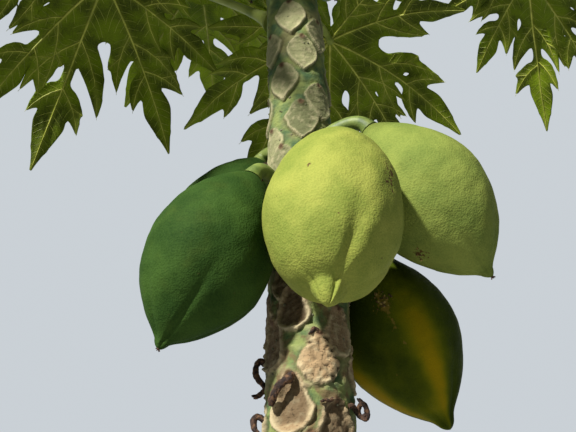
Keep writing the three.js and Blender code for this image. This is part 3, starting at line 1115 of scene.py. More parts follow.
@dataclass
class Leaf:
    """A palmately lobed leaf: petiole, ribs and two thin sheets of green, one for every second lobe.

    The two sheets lie on each other in the web round the petiole and part from there on, so that neighbouring
    lobes overlap as they do on the tree.
    """

    number: int
    plan: LeafPlan
    grid_share: float = 0.0125
    thickness: float = 0.8 * MM
    web_share: float = 0.385
    web_dip: float = 0.11
    notch_share: float = 0.05
    free_from: float = 0.37
    free_to: float = 0.60
    layer_step: float = 0.9 * MM
    layer_spread: float = 9 * MM
    rounding_share: float = 0.030
    web_rounding_share: float = 0.075
    rib_half_width: float = 0.030
    tip_half_width: float = 0.086
    tip_from: float = 0.58
    midrib_radius: float = 3.1 * MM
    vein_radius: float = 0.72 * MM
    vein_spacing: float = 0.045
    petiole_radius: float = 7 * MM
    petiole_foot_radius: float = 20 * MM
    petiole_sink: float = 8 * MM
    petiole_arch: float = 0.1
    petiole_points: int = 41
    # Spread of what is drawn for each lobe: droop, which is smaller for known leaves, twist, sway of its
    # midrib, and its side lobes' place, length and forward angle
    droop_spread: float = 0.1
    known_share: float = 0.4
    twist_spread: float = 14.0
    sway_spread: float = 0.02
    place_spread: float = 0.035
    length_spread: tuple[float, float] = (0.86, 1.14)
    forward_spread: tuple[float, float] = (-5.0, 6.0)
    # Pointed side lobes on each lobe: place on the midrib, length, forward angle and half width, as shares
    side_lobes: tuple = ((0.34, 0.36, 33.0, 0.062), (0.555, 0.25, 43.0, 0.053))
    # A blunt tooth on the outer edge of a lower side lobe: place, length, forward angle, half width
    tooth: tuple = (0.42, 0.30, 40.0, 0.10)
    tooth_spread: float = 6.0
    toothed_from: float = 0.26
    toothless_chance: float = 0.4
    side_lobe_bend: float = 16.0
    # Relief over the even surface: folds at the ribs, lobes that hang at their edges, waves, ruffled margin
    fold_rise: float = 0.30
    fold_width: float = 0.035
    hang: float = 0.9
    wave_height: float = 0.007
    wave_length: float = 0.085
    ruffle_depth: float = 0.0014
    ruffle_length: float = 0.030
    # Veins: angle to their rib, steps, bend towards the rib's way at each step, and end before the margin
    vein_slant: float = 62.0
    vein_slant_spread: float = 4.0
    vein_steps: int = 22
    vein_bend: float = 0.05
    vein_end: float = 0.0025
    young_growth: float = 0.45

    def __post_init__(self) -> None:
        """Draw the leaf's own random numbers and lay out its ribs."""
        self.random = np.random.default_rng(100 + self.number)
        self.angles = LOBE_ANGLES + self.plan.turns
        self.size = self.plan.reach / SPIRAL.blade_reach
        droops = self.random.uniform(-self.droop_spread, self.droop_spread, len(self.angles))
        self.droops = 1 + droops * (self.known_share if self.plan.is_known else 1)
        self.twists = np.radians(self.random.uniform(-self.twist_spread, self.twist_spread, len(self.angles)))
        self.ribs = []
        self.owner_lobe = []
        for lobe in range(len(self.angles)):
            self.lay_lobe(lobe)

    def lay_lobe(self, lobe: int) -> None:
        """Lay the ribs of one lobe flat, with the petiole at the origin and the middle lobe along +X.

        Args:
            lobe: Number of the lobe.
        """
        length = self.plan.lengths[lobe] * self.plan.reach
        turn = math.radians(self.angles[lobe])
        ahead = flat_way(turn)
        beside = np.array([-ahead[1], ahead[0]])
        sway = self.random.uniform(-self.sway_spread, self.sway_spread)
        shares = np.linspace(0, 1, 9)
        line = length * (shares[:, None] * ahead + sway * np.sin(np.pi * shares)[:, None] * beside)
        radius = self.midrib_radius * self.size * (0.55 + 0.45 * self.plan.lengths[lobe])
        self.keep(lobe, Rib(line, self.rib_half_width * length, Outline.WEB, radius, 0.5 * MM))
        tip = line[shares >= self.tip_from]
        self.keep(lobe, Rib(tip, self.tip_half_width * length, Outline.LANCE))
        for place, share, forward, width in self.side_lobes:
            for side in (-1, 1):
                place_here = place + self.random.uniform(-self.place_spread, self.place_spread)
                share_here = share * self.random.uniform(*self.length_spread)
                forward_here = forward + self.random.uniform(*self.forward_spread)
                foot = point_on(line, shares, place_here)
                self.lay_side_lobe(lobe, foot, turn, side * forward_here, share_here * length, width * length)

    def lay_side_lobe(
        self, lobe: int, foot: Array, turn: float, forward: float, length: float, width: float
    ) -> None:
        """Lay one side lobe, perhaps with a tooth.

        Args:
            lobe: Number of the lobe that it stands on.
            foot: Where its rib leaves the midrib.
            turn: Direction of the midrib, in radians.
            forward: Angle from the midrib, in degrees, signed.
            length: Length of its rib.
            width: Half width of its green.
        """
        start_turn = turn + math.radians(forward + math.copysign(self.side_lobe_bend, forward))
        end_turn = turn + math.radians(forward)
        middle = foot + 0.5 * length * flat_way(start_turn)
        end = foot + length * flat_way(end_turn)
        shares = np.linspace(0, 1, 5)
        line = bezier(foot, middle, end, shares)
        radius = 0.5 * self.midrib_radius * self.size
        self.keep(lobe, Rib(line, width, Outline.LANCE, radius, 0.4 * MM))
        if length < self.toothed_from * self.plan.reach or self.random.random() < self.toothless_chance:
            return
        place, share, tooth_forward, tooth_width = self.tooth
        foot_here = point_on(line, shares, place)
        tooth_forward = math.copysign(tooth_forward, forward)
        spread = self.random.uniform(-self.tooth_spread, self.tooth_spread)
        tip = foot_here + share * length * flat_way(end_turn + math.radians(tooth_forward + spread))
        tooth_line = np.array([foot_here, (foot_here + tip) / 2, tip])
        self.keep(lobe, Rib(tooth_line, tooth_width * length, Outline.LANCE, 0.9 * MM * self.size, 0.3 * MM))

    def keep(self, lobe: int, rib: Rib) -> None:
        """Keep a rib with the number of its lobe."""
        self.ribs.append(rib)
        self.owner_lobe.append(lobe)

    def lay_grid(self, lobes: range) -> None:
        """Work out, on a flat grid, where the green of some lobes is, and which rib is nearest and how near.

        Args:
            lobes: Numbers of the lobes.
        """
        step = self.grid_share * self.plan.reach
        span = 1.12 * self.plan.reach
        self.step = step
        self.ticks = np.arange(-span, span + step, step)
        count = len(self.ticks)
        self.green = np.full((count, count), -1.0)
        self.rib_distance = np.full((count, count), 0.05)
        self.owner = np.full((count, count), -1)
        for number, rib in enumerate(self.ribs):
            if self.owner_lobe[number] in lobes:
                self.add_rib(number, rib, self.rounding_share * self.plan.reach)

    def lay_layer(self, layer: int) -> None:
        """Lay the grid of one layer; in the web, which both layers share, the ribs of all lobes count.

        Args:
            layer: 0 for the lower layer, 1 for the upper one.
        """
        count = len(self.angles)
        self.lay_grid(range(count))
        rib_distance, owner = self.rib_distance, self.owner
        self.layer = layer
        self.lobes = range(layer, count, 2)
        self.lay_grid(self.lobes)
        x, y = self.ticks[:, None], self.ticks[None, :]
        reach = self.plan.reach
        self.free = ramp(np.hypot(x, y), self.free_from * reach, self.free_to * reach)
        self.rib_distance = rib_distance * (1 - self.free) + self.rib_distance * self.free
        self.owner = np.where(self.free < 0.05, owner, self.owner)
        self.add_web(self.web_rounding_share * reach)
        self.keep_whole()
        self.relief()

    def add_rib(self, number: int, rib: Rib, rounding: float) -> None:
        """Join the green beside one rib to the blade, rounding the corner between them.

        Args:
            number: Number of the rib.
            rib: The rib.
            rounding: Size of the rounding.
        """
        margin = 1.1 * rib.half_width + 0.03
        low = np.searchsorted(self.ticks, rib.line.min(0) - margin)
        high = np.searchsorted(self.ticks, rib.line.max(0) + margin) + 1
        part = slice(low[0], high[0]), slice(low[1], high[1])
        x, y = self.ticks[part[0], None], self.ticks[None, part[1]]
        best = np.full(np.broadcast(x, y).shape, -1.0)
        nearest = np.full(best.shape, 1.0)
        shares = rib.shares()
        for index in range(len(rib.line) - 1):
            a, b = rib.line[index], rib.line[index + 1]
            d = b - a
            along = np.clip(((x - a[0]) * d[0] + (y - a[1]) * d[1]) / (d @ d), 0, 1)
            distance = np.hypot(x - a[0] - along * d[0], y - a[1] - along * d[1])
            share = shares[index] + along * (shares[index + 1] - shares[index])
            best = np.maximum(best, rib.width_at(share) - distance)
            nearest = np.minimum(nearest, distance)
        old = self.green[part]
        overlap = np.maximum(rounding - np.abs(old - best), 0) / rounding
        self.green[part] = np.maximum(old, best) + overlap**2 * rounding / 4
        if rib.foot_radius:
            closer = nearest < self.rib_distance[part]
            self.rib_distance[part] = np.where(closer, nearest, self.rib_distance[part])
            self.owner[part] = np.where(closer, number, self.owner[part])

    def add_web(self, rounding: float) -> None:
        """Join the web that holds the lobes together round the petiole.

        Args:
            rounding: Size of the rounding between web and lobes.
        """
        x, y = self.ticks[:, None], self.ticks[None, :]
        turn, distance = np.degrees(np.arctan2(y, x)), np.hypot(x, y)
        ends = np.concatenate([[-180.0], self.angles, [180.0]])
        lengths = np.interp(turn, ends, np.concatenate([[0.0], self.plan.lengths, [0.0]]))
        spacing = np.diff(self.angles).mean() / 2
        aside = np.clip(np.abs(turn[..., None] - self.angles).min(-1) / spacing, 0, 1)
        share = self.web_share - self.web_dip * aside**1.4
        web = (self.notch_share + (1 - self.notch_share) * lengths * share) * self.plan.reach - distance
        overlap = np.maximum(rounding - np.abs(self.green - web), 0) / rounding
        self.green = np.maximum(self.green, web) + overlap**2 * rounding / 4

    def flat_points(self, level: float) -> Array:
        """Return the grid's points, at a level of noise that is the leaf's own."""
        x, y = np.meshgrid(self.ticks, self.ticks, indexing="ij")
        return np.stack([x, y, np.full_like(x, level * self.number)], axis=-1)

    def keep_whole(self) -> None:
        """Ruffle the margin a little, and drop green that isn't joined to the petiole."""
        ruffle = Lumps(7).at(self.flat_points(0.1), self.ruffle_length * self.size)
        self.green = self.green + self.ruffle_depth * self.size * ruffle
        inside = self.green > 0
        reached = np.zeros_like(inside)
        middle = len(self.ticks) // 2
        reached[middle, middle] = True
        while True:
            grown = reached.copy()
            grown[1:] |= reached[:-1]
            grown[:-1] |= reached[1:]
            grown[:, 1:] |= reached[:, :-1]
            grown[:, :-1] |= reached[:, 1:]
            grown &= inside
            if (grown == reached).all():
                break
            reached = grown
        self.green = np.where(inside & ~reached, -0.001, self.green)

    def relief(self) -> None:
        """Work out the blade's height over its even surface: folds, hanging edges, twists and waves."""
        x, y = self.ticks[:, None], self.ticks[None, :]
        reach = self.plan.reach
        distance = np.hypot(x, y)
        away = np.degrees(np.arctan2(y, x))[..., None] - self.angles
        own = np.array(self.lobes)
        lobe = own[np.abs(away[..., own]).argmin(-1)]
        across_any = distance * np.sin(np.radians(np.abs(away).min(-1)))
        across = distance * np.sin(np.radians(np.take_along_axis(away, lobe[..., None], -1)[..., 0]))
        fold = self.fold_rise * self.rib_distance * np.exp(-self.rib_distance / (self.fold_width * self.size))
        rounded = across_any**2 * (1 - self.free) + across**2 * self.free
        hang = -self.hang * rounded / reach * ramp(distance, 0.3 * reach, 0.6 * reach)
        twist = np.tan(self.twists)[lobe] * across * self.free
        waves = Lumps(11).at(self.flat_points(0.37), self.wave_length * self.size)
        waves = self.wave_height * self.size * waves * ramp(distance, 0.02, 0.12)
        apart = (self.layer - 0.5) * (self.layer_step + self.layer_spread * self.size * self.free)
        self.height = fold + hang + twist + waves + apart
        self.droop = 1 + (self.droops[lobe] - 1) * self.free

    def sample(self, values: Array, places: Array) -> Array:
        """Read a grid of values at flat places, straight between its points.

        Args:
            values: The grid.
            places: Flat places, n by 2.

        Returns:
            One value for each place.
        """
        scaled = (places - self.ticks[0]) / self.step
        cell = np.clip(np.floor(scaled).astype(int), 0, len(self.ticks) - 2)
        part = scaled - cell
        i, j = cell[:, 0], cell[:, 1]
        s, t = part[:, 0], part[:, 1]
        low = values[i, j] * (1 - t) + values[i, j + 1] * t
        high = values[i + 1, j] * (1 - t) + values[i + 1, j + 1] * t
        return low * (1 - s) + high * s

    def lifted(self, places: Array, offset: float | Array) -> Array:
        """Bend flat places into the leaf's true shape: each ray from the petiole sags evenly by its weight.

        Args:
            places: Flat places, n by 2.
            offset: Height over the blade's middle surface.

        Returns:
            Points, n by 3.
        """
        along, across, normal = self.plan.directions()
        distance = np.maximum(np.hypot(places[:, 0], places[:, 1]), 1e-6)
        cosine, sine = places[:, 0] / distance, places[:, 1] / distance
        ray = cosine[:, None] * along + sine[:, None] * across
        side = -sine[:, None] * along + cosine[:, None] * across
        sag = -UP + ray * ray[:, 2:]
        pull = np.linalg.norm(sag, axis=1)
        curvature = self.plan.droop / self.plan.reach * pull * self.sample(self.droop, places)
        bend = curvature * distance
        down = unit(sag)
        point = ray * (np.sin(bend) / curvature)[:, None] + down * ((1 - np.cos(bend)) / curvature)[:, None]
        travel = ray * np.cos(bend)[:, None] + down * np.sin(bend)[:, None]
        out = np.cross(side, travel)
        height = self.sample(self.height, places) + offset
        return self.plan.centre + point + out * height[:, None]

    def outline_mesh(self) -> tuple[Array, Array]:
        """Cut the blade's outline out of the grid.

        Returns:
            Flat places, n by 2, and triangles seen from the side that +Z of the flat points to.
        """
        inside = self.green > 0
        count = len(self.ticks)
        number = np.full((count, count), -1)
        number[inside] = np.arange(inside.sum())
        grid = np.stack(np.meshgrid(self.ticks, self.ticks, indexing="ij"), axis=-1)
        places = [grid[inside]]
        total = int(inside.sum())
        crossings = []
        for axis in (0, 1):
            first, second = [slice(None)] * 2, [slice(None)] * 2
            first[axis], second[axis] = slice(0, -1), slice(1, None)
            a, b = self.green[tuple(first)], self.green[tuple(second)]
            crossed = (a > 0) != (b > 0)
            share = np.clip(a / np.where(crossed, a - b, 1), 0.06, 0.94)[crossed]
            low, high = grid[tuple(first)][crossed], grid[tuple(second)][crossed]
            places.append(low + (high - low) * share[:, None])
            numbers = np.full(a.shape, -1)
            numbers[crossed] = total + np.arange(crossed.sum())
            total += int(crossed.sum())
            crossings.append(numbers)
        corners = [number[:-1, :-1], number[1:, :-1], number[1:, 1:], number[:-1, 1:]]
        edges = [crossings[0][:, :-1], crossings[1][1:, :], crossings[0][:, 1:], crossings[1][:-1, :]]
        code = sum((corner >= 0).astype(int) << bit for bit, corner in enumerate(corners))
        triangles = []
        for case in range(1, 16):
            cells = code == case
            walk = []
            for bit in range(4):
                here, there = case >> bit & 1, case >> ((bit + 1) % 4) & 1
                walk += [corners[bit][cells]] if here else []
                walk += [edges[bit][cells]] if here != there else []
            for index in range(1, len(walk) - 1):
                triangles.append(np.stack([walk[0], walk[index], walk[index + 1]], 1))
        return np.vstack(places), np.vstack(triangles)

    def sheet(self) -> tuple[Array, Array, Array, Array]:
        """Make one layer of the blade as a thin closed sheet.

        Returns:
            Points, triangles, the part of each triangle (0 upper face, 1 under face, 2 margin), and how far
            each point is from the nearest rib.
        """
        places, triangles = self.outline_mesh()
        count = len(places)
        above = self.lifted(places, self.thickness / 2)
        below = self.lifted(places, -self.thickness / 2)
        directed = np.vstack([triangles[:, [0, 1]], triangles[:, [1, 2]], triangles[:, [2, 0]]])
        keys = directed[:, 0] * count + directed[:, 1]
        rim = directed[~np.isin(keys, directed[:, 1] * count + directed[:, 0])]
        a, b = rim[:, 0], rim[:, 1]
        # The flat's across direction runs clockwise from above, so the upper face's triangles are reversed
        faces = np.vstack([
            triangles[:, ::-1],
            triangles + count,
            np.stack([a, b, b + count], 1),
            np.stack([a, b + count, a + count], 1),
        ])
        part = np.repeat([0, 1, 2], [len(triangles), len(triangles), 2 * len(a)])
        distance = self.sample(self.rib_distance, places)
        return np.vstack([above, below]), faces, part, np.concatenate([distance, distance])

    def add_ribs(self, thick: Tubes, thin: Tubes) -> None:
        """Add the ribs of one layer, and the fine veins that leave them at a slant.

        Args:
            thick: Where the ribs go.
            thin: Where the veins go.
        """
        for number, rib in enumerate(self.ribs):
            if rib.foot_radius and self.owner_lobe[number] in self.lobes:
                radius = np.interp(rib.shares(), [0, 1], [rib.foot_radius, rib.tip_radius])
                thick.add(self.lifted(rib.line, self.under_side(rib.line) - 0.5 * radius - 0.2 * MM), radius)
        feet, heads, owners = self.vein_feet()
        lines, lengths = self.grow_veins(feet, heads, owners)
        for line, length in zip(lines, lengths):
            if length >= 2:
                picks = line[np.linspace(0, length, 7 if length > 10 else 5 if length > 5 else 3).astype(int)]
                radius = self.vein_radius * self.size**0.5 * np.linspace(1.0, 0.55, len(picks))
                thin.add(self.lifted(picks, self.under_side(picks) - 0.42 * MM), radius)

    def under_side(self, places: Array) -> Array:
        """Return how far below its own layer a rib lies, so that it shows under the lower one too."""
        return -self.layer * self.layer_step * (1 - self.sample(self.free, places))

    def vein_feet(self) -> tuple[Array, Array, Array]:
        """Set out where veins leave the ribs.

        Returns:
            Flat places, unit headings, and the number of the rib that each leaves.
        """
        feet, heads, owners = [], [], []
        spacing = self.vein_spacing * self.plan.reach
        for number, rib in enumerate(self.ribs):
            if not rib.foot_radius or rib.length() < 2 * spacing or self.owner_lobe[number] not in self.lobes:
                continue
            ahead = unit(rib.line[-1] - rib.line[0])
            for share in np.arange(0.7 * spacing, rib.length() - 0.5 * spacing, spacing) / rib.length():
                foot = point_on(rib.line, rib.shares(), share)
                for side in (-1, 1):
                    spread = self.random.uniform(-self.vein_slant_spread, self.vein_slant_spread)
                    slant = math.radians(side * (self.vein_slant + spread))
                    turn = np.array([[math.cos(slant), -math.sin(slant)], [math.sin(slant), math.cos(slant)]])
                    shift = ahead * spacing * (0.2 * side + self.random.uniform(-0.08, 0.08))
                    feet.append(foot + shift)
                    heads.append(turn @ ahead)
                    owners.append(number)
        return np.array(feet), np.array(heads), np.array(owners)

    def grow_veins(self, feet: Array, heads: Array, owners: Array) -> tuple[Array, Array]:
        """Let each vein run on until it nears the margin or another rib's ground.

        Args:
            feet: Where the veins start.
            heads: Their unit headings.
            owners: Rib that each leaves.

        Returns:
            The lines, each with its first places valid, and the number of steps that each took.
        """
        step = 1.1 * self.step
        lines = np.repeat(feet[:, None], self.vein_steps + 1, axis=1)
        alive = np.ones(len(feet), bool)
        lengths = np.zeros(len(feet), int)
        rib_ways = np.array([unit(rib.line[-1] - rib.line[0]) for rib in self.ribs])[owners]
        place, head = feet.copy(), heads.copy()
        for count in range(1, self.vein_steps + 1):
            head = unit(head + self.vein_bend * rib_ways)
            place = place + step * head
            cell = np.clip(np.rint((place - self.ticks[0]) / self.step).astype(int), 0, len(self.ticks) - 1)
            own = self.owner[cell[:, 0], cell[:, 1]]
            green = self.green[cell[:, 0], cell[:, 1]]
            alive &= (green > self.vein_end * self.size) & ((own == owners) | (count < 4))
            lines[alive, count] = place[alive]
            lengths[alive] = count
        return lines, lengths

    def petiole_mesh(self) -> Mesh:
        """Make the long stalk, flared where it clasps the trunk and a little thicker under the blade.

        Returns:
            The mesh.
        """
        plan = self.plan
        size = 1 - SPIRAL.petiole_shrink * plan.growth
        end = plan.centre - plan.directions()[2] * 3 * MM
        foot = TRUNK.surface(plan.height, plan.azimuth, self.petiole_sink)
        middle = (foot + end) / 2 + UP * self.petiole_arch * np.linalg.norm(end - foot)
        shares = np.linspace(0, 1, self.petiole_points) ** 1.4
        flare = (self.petiole_foot_radius - self.petiole_radius) * np.exp(-shares / 0.045)
        head = 0.25 * self.petiole_radius * np.exp(-(1 - shares) / 0.02)
        tube = Tubes()
        tube.add(bezier(foot, middle, end, shares), size * (self.petiole_radius + flare + head))
        return tube.mesh(14, PETIOLE_SKIN)

    def build(self) -> None:
        """Build the leaf and place its pieces."""
        thick, thin = Tubes(), Tubes()
        sheets = []
        for layer in (0, 1):
            self.lay_layer(layer)
            sheets.append(self.sheet())
            self.add_ribs(thick, thin)
        (low, low_faces, *_), (high, high_faces, *_) = sheets
        part = np.concatenate([sheet[2] for sheet in sheets])
        upper, under = BLADE_UPPER, BLADE_PAINTED_BACKLIGHT if self.number in BACKLIT_LEAVES else BLADE_UNDER_IN_SHADE
        if self.plan.growth > self.young_growth:
            upper, under = YOUNG_UPPER, YOUNG_UNDER
        name = f"{self.number:02d}"
        blade = make_mesh(
            f"leaf_{name}",
            np.vstack([low, high]),
            np.vstack([low_faces, high_faces + len(low)]),
            [upper.material(), under.material()],
            {"rib_distance": np.concatenate([sheet[3] for sheet in sheets])},
        )
        blade.polygons.foreach_set("material_index", np.minimum(part, 1).astype(np.int32))
        blade.polygons.foreach_set("use_smooth", part < 2)
        show(f"blade_{name}", blade, Slot.LEAF, f"leaf_{name}")
        show(f"ribs_{name}", thick.mesh(6, RIB_SKIN), Slot.LEAF)
        show(f"veins_{name}", thin.mesh(4, VEIN_SKIN), Slot.LEAF)
        show(f"stalk_{name}", self.petiole_mesh(), Slot.PETIOLE, f"petiole_{name}")


# Trunk


@dataclass(frozen=True)
class Scar:
    """Scar of a fallen leaf: azimuth in degrees, height, share of full size, hollow, tone and roughness."""

    azimuth: float
    height: float
    size: float = 1.0
    hollow: float = 1.2 * MM
    tone: float = 0.4
    rough: float = 1.0


# Scars that show in the photograph, with their true places
SEEN_SCARS = (
    Scar(-99, 2.411, tone=1.0), Scar(-78, 2.340, tone=0.8), Scar(-121, 2.288, tone=0.6), Scar(-50, 2.252),
    Scar(-88.5, 2.215, tone=0.0), Scar(-150, 2.358, 0.95, tone=0.9), Scar(-36, 2.385, 0.95, tone=0.5),
    Scar(-153, 2.180, tone=0.8), Scar(-128, 2.142, tone=0.3),
    Scar(-114, 1.923, 0.95, 5 * MM, 0.1), Scar(-45, 1.896, 1.0, 1 * MM, 0.4, 0.7),
    Scar(-150, 1.880, 1.0, 3 * MM, 0.3), Scar(-78, 1.857, 1.0, -2.2 * MM, 1.0, 1.5),
    Scar(-118, 1.802, 1.15, 8 * MM, 0.7, 0.5), Scar(-56, 1.772, 1.1, 5 * MM, 0.5, 1.3),
    Scar(-92, 1.735, 1.0, 5 * MM, 0.6, 1.3),
)


@dataclass(frozen=True)
class DriedStub:
    """Dried, curled remnant of a fruit stalk; its course runs out from the bark, sideways and down, in mm."""

    azimuth: float
    height: float
    course: tuple[Triple, ...]
    thickness: float = 3.2 * MM


HOOK = ((-3, 0, 4), (8, 0, -5), (15, 1, 4), (14, 3, 17), (6, 2, 26), (4, 0, 33), (11, -1, 40), (18, -2, 43))
SHORT_HOOK = ((-3, 0, 3), (8, 0, -6), (15, 1, -2), (14, 2, 10), (6, 2, 17), (3, 1, 26))
KNOT = (
    (0, -14, 0), (4, -8, -3), (5, -2, 3), (9, 4, 9), (15, 5, 6), (17, -1, -1), (12, -4, -5), (7, 0, 1),
    (9, 5, 8), (15, 2, 13), (20, -3, 8), (18, -1, -3), (11, 3, -8), (8, 4, -13),
)
ROLL = ((1, 16, -15), (7, 11, -9), (10, 4, -1), (10, -4, 8), (7, -11, 16))
SEEN_STUBS = (
    DriedStub(182, 1.864, HOOK, 4.0 * MM),
    DriedStub(180, 1.791, SHORT_HOOK, 4.0 * MM),
    DriedStub(-22, 1.801, KNOT, 3.0 * MM),
    DriedStub(-131, 1.818, ROLL, 5.2 * MM),
    DriedStub(-127, 1.822, ROLL, 3.8 * MM),
    DriedStub(-84, 1.890, ((0, 6, 2), (3, 3, -2), (4, -1, -3), (4, -5, 1), (1, -7, 4)), 2.6 * MM),
    DriedStub(-72, 1.806, ((0, 8, 0), (3, 3, 3), (4, -2, 1), (3, -7, 4)), 2.2 * MM),
)


def smooth_course(corners: Array, steps: int) -> Array:
    """Return a smooth line through some corners (a Catmull-Rom curve).

    Args:
        corners: Corners, n by 3.
        steps: Points for each stretch between two corners.

    Returns:
        The points.
    """
    padded = np.vstack([2 * corners[0] - corners[1], corners, 2 * corners[-1] - corners[-2]])
    line = []
    for a, b, c, d in zip(padded, padded[1:], padded[2:], padded[3:]):
        for t in np.arange(steps) / steps:
            line.append(0.5 * (2 * b + (c - a) * t + (2 * a - 5 * b + 4 * c - d) * t**2
                               + (3 * b - a - 3 * c + d) * t**3))
    return np.array(line + [corners[-1]])


@dataclass
class Trunk:
    """The trunk, with its leaf scars, dried stubs and warts."""

    columns: int = 150
    fine_from: float = 1.72
    fine_to: float = 2.48
    fine_step: float = 2.4 * MM
    coarse_step: float = 6.5 * MM
    scar_height: float = 68 * MM
    scar_width: float = 52 * MM
    widest_share: float = 0.36
    widest_share_gain: float = 0.20
    seen_from: float = 1.715
    seen_to: float = 1.955
    upper_seen_from: float = 2.12
    lowest_scar: float = 0.12
    front_half_angle: float = 78.0
    old_below: float = 2.0
    fold_depth: float = 3.2 * MM
    # Bud in the axil above each scar: a low swelling with a sunken eye
    bud_down: float = 2.5 * MM
    bud_radius: float = 6.0 * MM
    bud_height: float = 2.8 * MM
    eye_radius: float = 2.4 * MM
    eye_depth: float = 3.2 * MM
    # Dried stubs on the hidden side, and warts
    first_stub: int = -8
    lowest_stub: float = 1.55
    stub_chance: float = 0.4
    stub_over_scar: float = 40 * MM
    wart_count: int = 900
    warts_from: float = 0.15
    warts_to: float = 2.42

    def scars(self) -> list[Scar]:
        """Gather all scars: those that are seen, and elsewhere those of the spiral.

        Returns:
            The scars.
        """
        random = np.random.default_rng(23)
        found = list(SEEN_SCARS)
        number = SPIRAL.first_leaf - 1
        while SPIRAL.height(number) > self.lowest_scar:
            azimuth, height = SPIRAL.azimuth(number), SPIRAL.height(number)
            faces_front = math.cos(math.radians(azimuth + 90)) > math.cos(math.radians(self.front_half_angle))
            in_view = self.seen_from < height < self.seen_to or height > self.upper_seen_from
            if not (faces_front and in_view):
                hollow = random.uniform(*((-1.5, 4) if height < self.old_below else (0.8, 1.8))) * MM
                found.append(Scar(azimuth, height, random.uniform(0.9, 1.08), hollow, random.uniform(0, 1)))
            number -= 1
        return found

    def half_width(self, share: Array, age: float) -> Array:
        """Work out a scar's outline.

        Args:
            share: Shares of its height, from the top.
            age: 0 for a kite with soft corners, 1 for a drop with a round foot.

        Returns:
            The half width at each, as a share of the greatest one.
        """
        widest = self.widest_share + self.widest_share_gain * age
        above = np.clip(share / widest, 0, 1)
        below = np.clip((share - widest) / (1 - widest), 0, 1)
        opening = 0.3 + 0.7 * above**0.75
        closing = (1 - below ** (1.7 + 0.5 * age)) ** (0.85 - 0.25 * age)
        return np.where(share < widest, opening, closing)

    def add_scar(self, scar: Scar, heights: Array, azimuths: Array, fields: dict[str, Array]) -> None:
        """Add one scar to the trunk's relief and masks: a tilted plate with a lip, a hollow and a bud.

        Args:
            scar: The scar.
            heights: Height of each row.
            azimuths: Azimuth of each column, in degrees.
            fields: Arrays of rows by columns: lift and the masks of the bark.
        """
        tall = self.scar_height * scar.size
        wide = self.scar_width / 2 * scar.size
        rows = np.abs(heights - scar.height) < 0.85 * tall
        away = (azimuths - scar.azimuth + 180) % 360 - 180
        across = np.radians(away) * TRUNK.radius(scar.height, scar.azimuth)
        columns = np.abs(across) < 1.5 * wide
        if not rows.any():
            return
        part = np.ix_(rows, columns)
        down = (scar.height + tall / 2 - heights[rows])[:, None] + 0 * across[columns][None]
        across = across[columns][None] + 0 * down
        share = down / tall
        age = ramp(np.array(scar.height), 2.05, 1.90)
        worn = 1 - 0.75 * ramp(np.array(scar.height), 1.6, 0.5)
        point = np.stack([across, down, np.full(down.shape, scar.height)], -1)
        uneven = 1.5 * MM * LUMPS.at(point, 9 * MM) + 2.5 * MM * age * LUMPS.at(point, 15 * MM)
        inside = np.minimum(wide * self.half_width(share, float(age)) - np.abs(across), 1.1 * down)
        inside = np.minimum(inside, (tall - down) * 1.1) + uneven
        mask = ramp(inside, -0.6 * MM, 1.4 * MM)
        share = np.clip(share, 0, 1)
        tilt = 0.3 * MM + 3.4 * MM * share**1.3
        edge = bell(inside - (2.0 + 2.0 * age) * MM, (1.7 + 1.9 * age) * MM)
        edge = edge * (1 - (0.2 + 0.45 * age) * ramp(LUMPS.at(point + 6.3, 12 * MM), -0.1, 0.5))
        lip = (0.5 + (0.9 + 2.4 * age) * share) * MM * edge
        hollow = scar.hollow * ramp(inside, 3 * MM, 9 * MM) * (1 - age * ramp(share, 0.74, 0.92))
        rough = 1.0 * MM * LUMPS.at(point + 3.1, 7 * MM) + 2.0 * MM * LUMPS.at(point, 4.0 * MM)
        rough = age * scar.rough * (0.6 + 0.9 * edge) * rough + 0.35 * MM * LUMPS.at(point + 1.3, 4.5 * MM)
        ledge = -1.6 * MM * bell(inside + 3 * MM, 2.6 * MM) * ramp(share, 0.35, 0.9)
        ledge = ledge - 1.0 * MM * bell(inside + 2 * MM, 2 * MM) * ramp(share, 0.2, 0.0)
        plate = tilt + lip - hollow + rough
        # Painted shade: the scar is darkened in its hollow and in the crevices of its rough face, and the
        # bark in the dip just outside its edge
        deep = ramp(hollow, 0.35 * abs(scar.hollow), abs(scar.hollow)) * np.clip(scar.hollow / (5 * MM), 0, 1)
        crevice = ramp(-rough, 0.9 * MM, 2.4 * MM) * age
        recess_shade = np.maximum(0.6 * deep * worn, 0.95 * crevice) * mask
        edge_shadow = 0.55 * bell(inside + 1.4 * MM, 1.5 * MM) * ramp(share, 0.1, 0.6) * worn
        # The rim's pale cork grows towards the lower lip, partly a painted highlight where the raised lip
        # catches the light
        laid = {
            "lift": worn * (plate * mask + ledge * (1 - mask)),
            "rim": edge * mask * worn * (0.15 + 0.8 * share),
            "recess_shade": recess_shade + edge_shadow * (1 - mask),
            "tone": scar.tone * mask,
        }
        for name, values in laid.items():
            fields[name][part] = fields[name][part] * (1 - mask) + values
        from_bud = np.hypot(across, down - self.bud_down)
        bud, eye = worn * bell(from_bud, self.bud_radius), worn * bell(from_bud, self.eye_radius)
        fields["lift"][part] += self.bud_height * bud - self.eye_depth * eye
        # The bud's sunken eye is darkened as painted shade
        least = {"scar": mask * (0.35 + 0.65 * worn), "bud": 0.85 * ramp(bud, 0.3, 0.8), "recess_shade": 0.9 * eye}
        for name, values in least.items():
            fields[name][part] = np.maximum(fields[name][part], values)

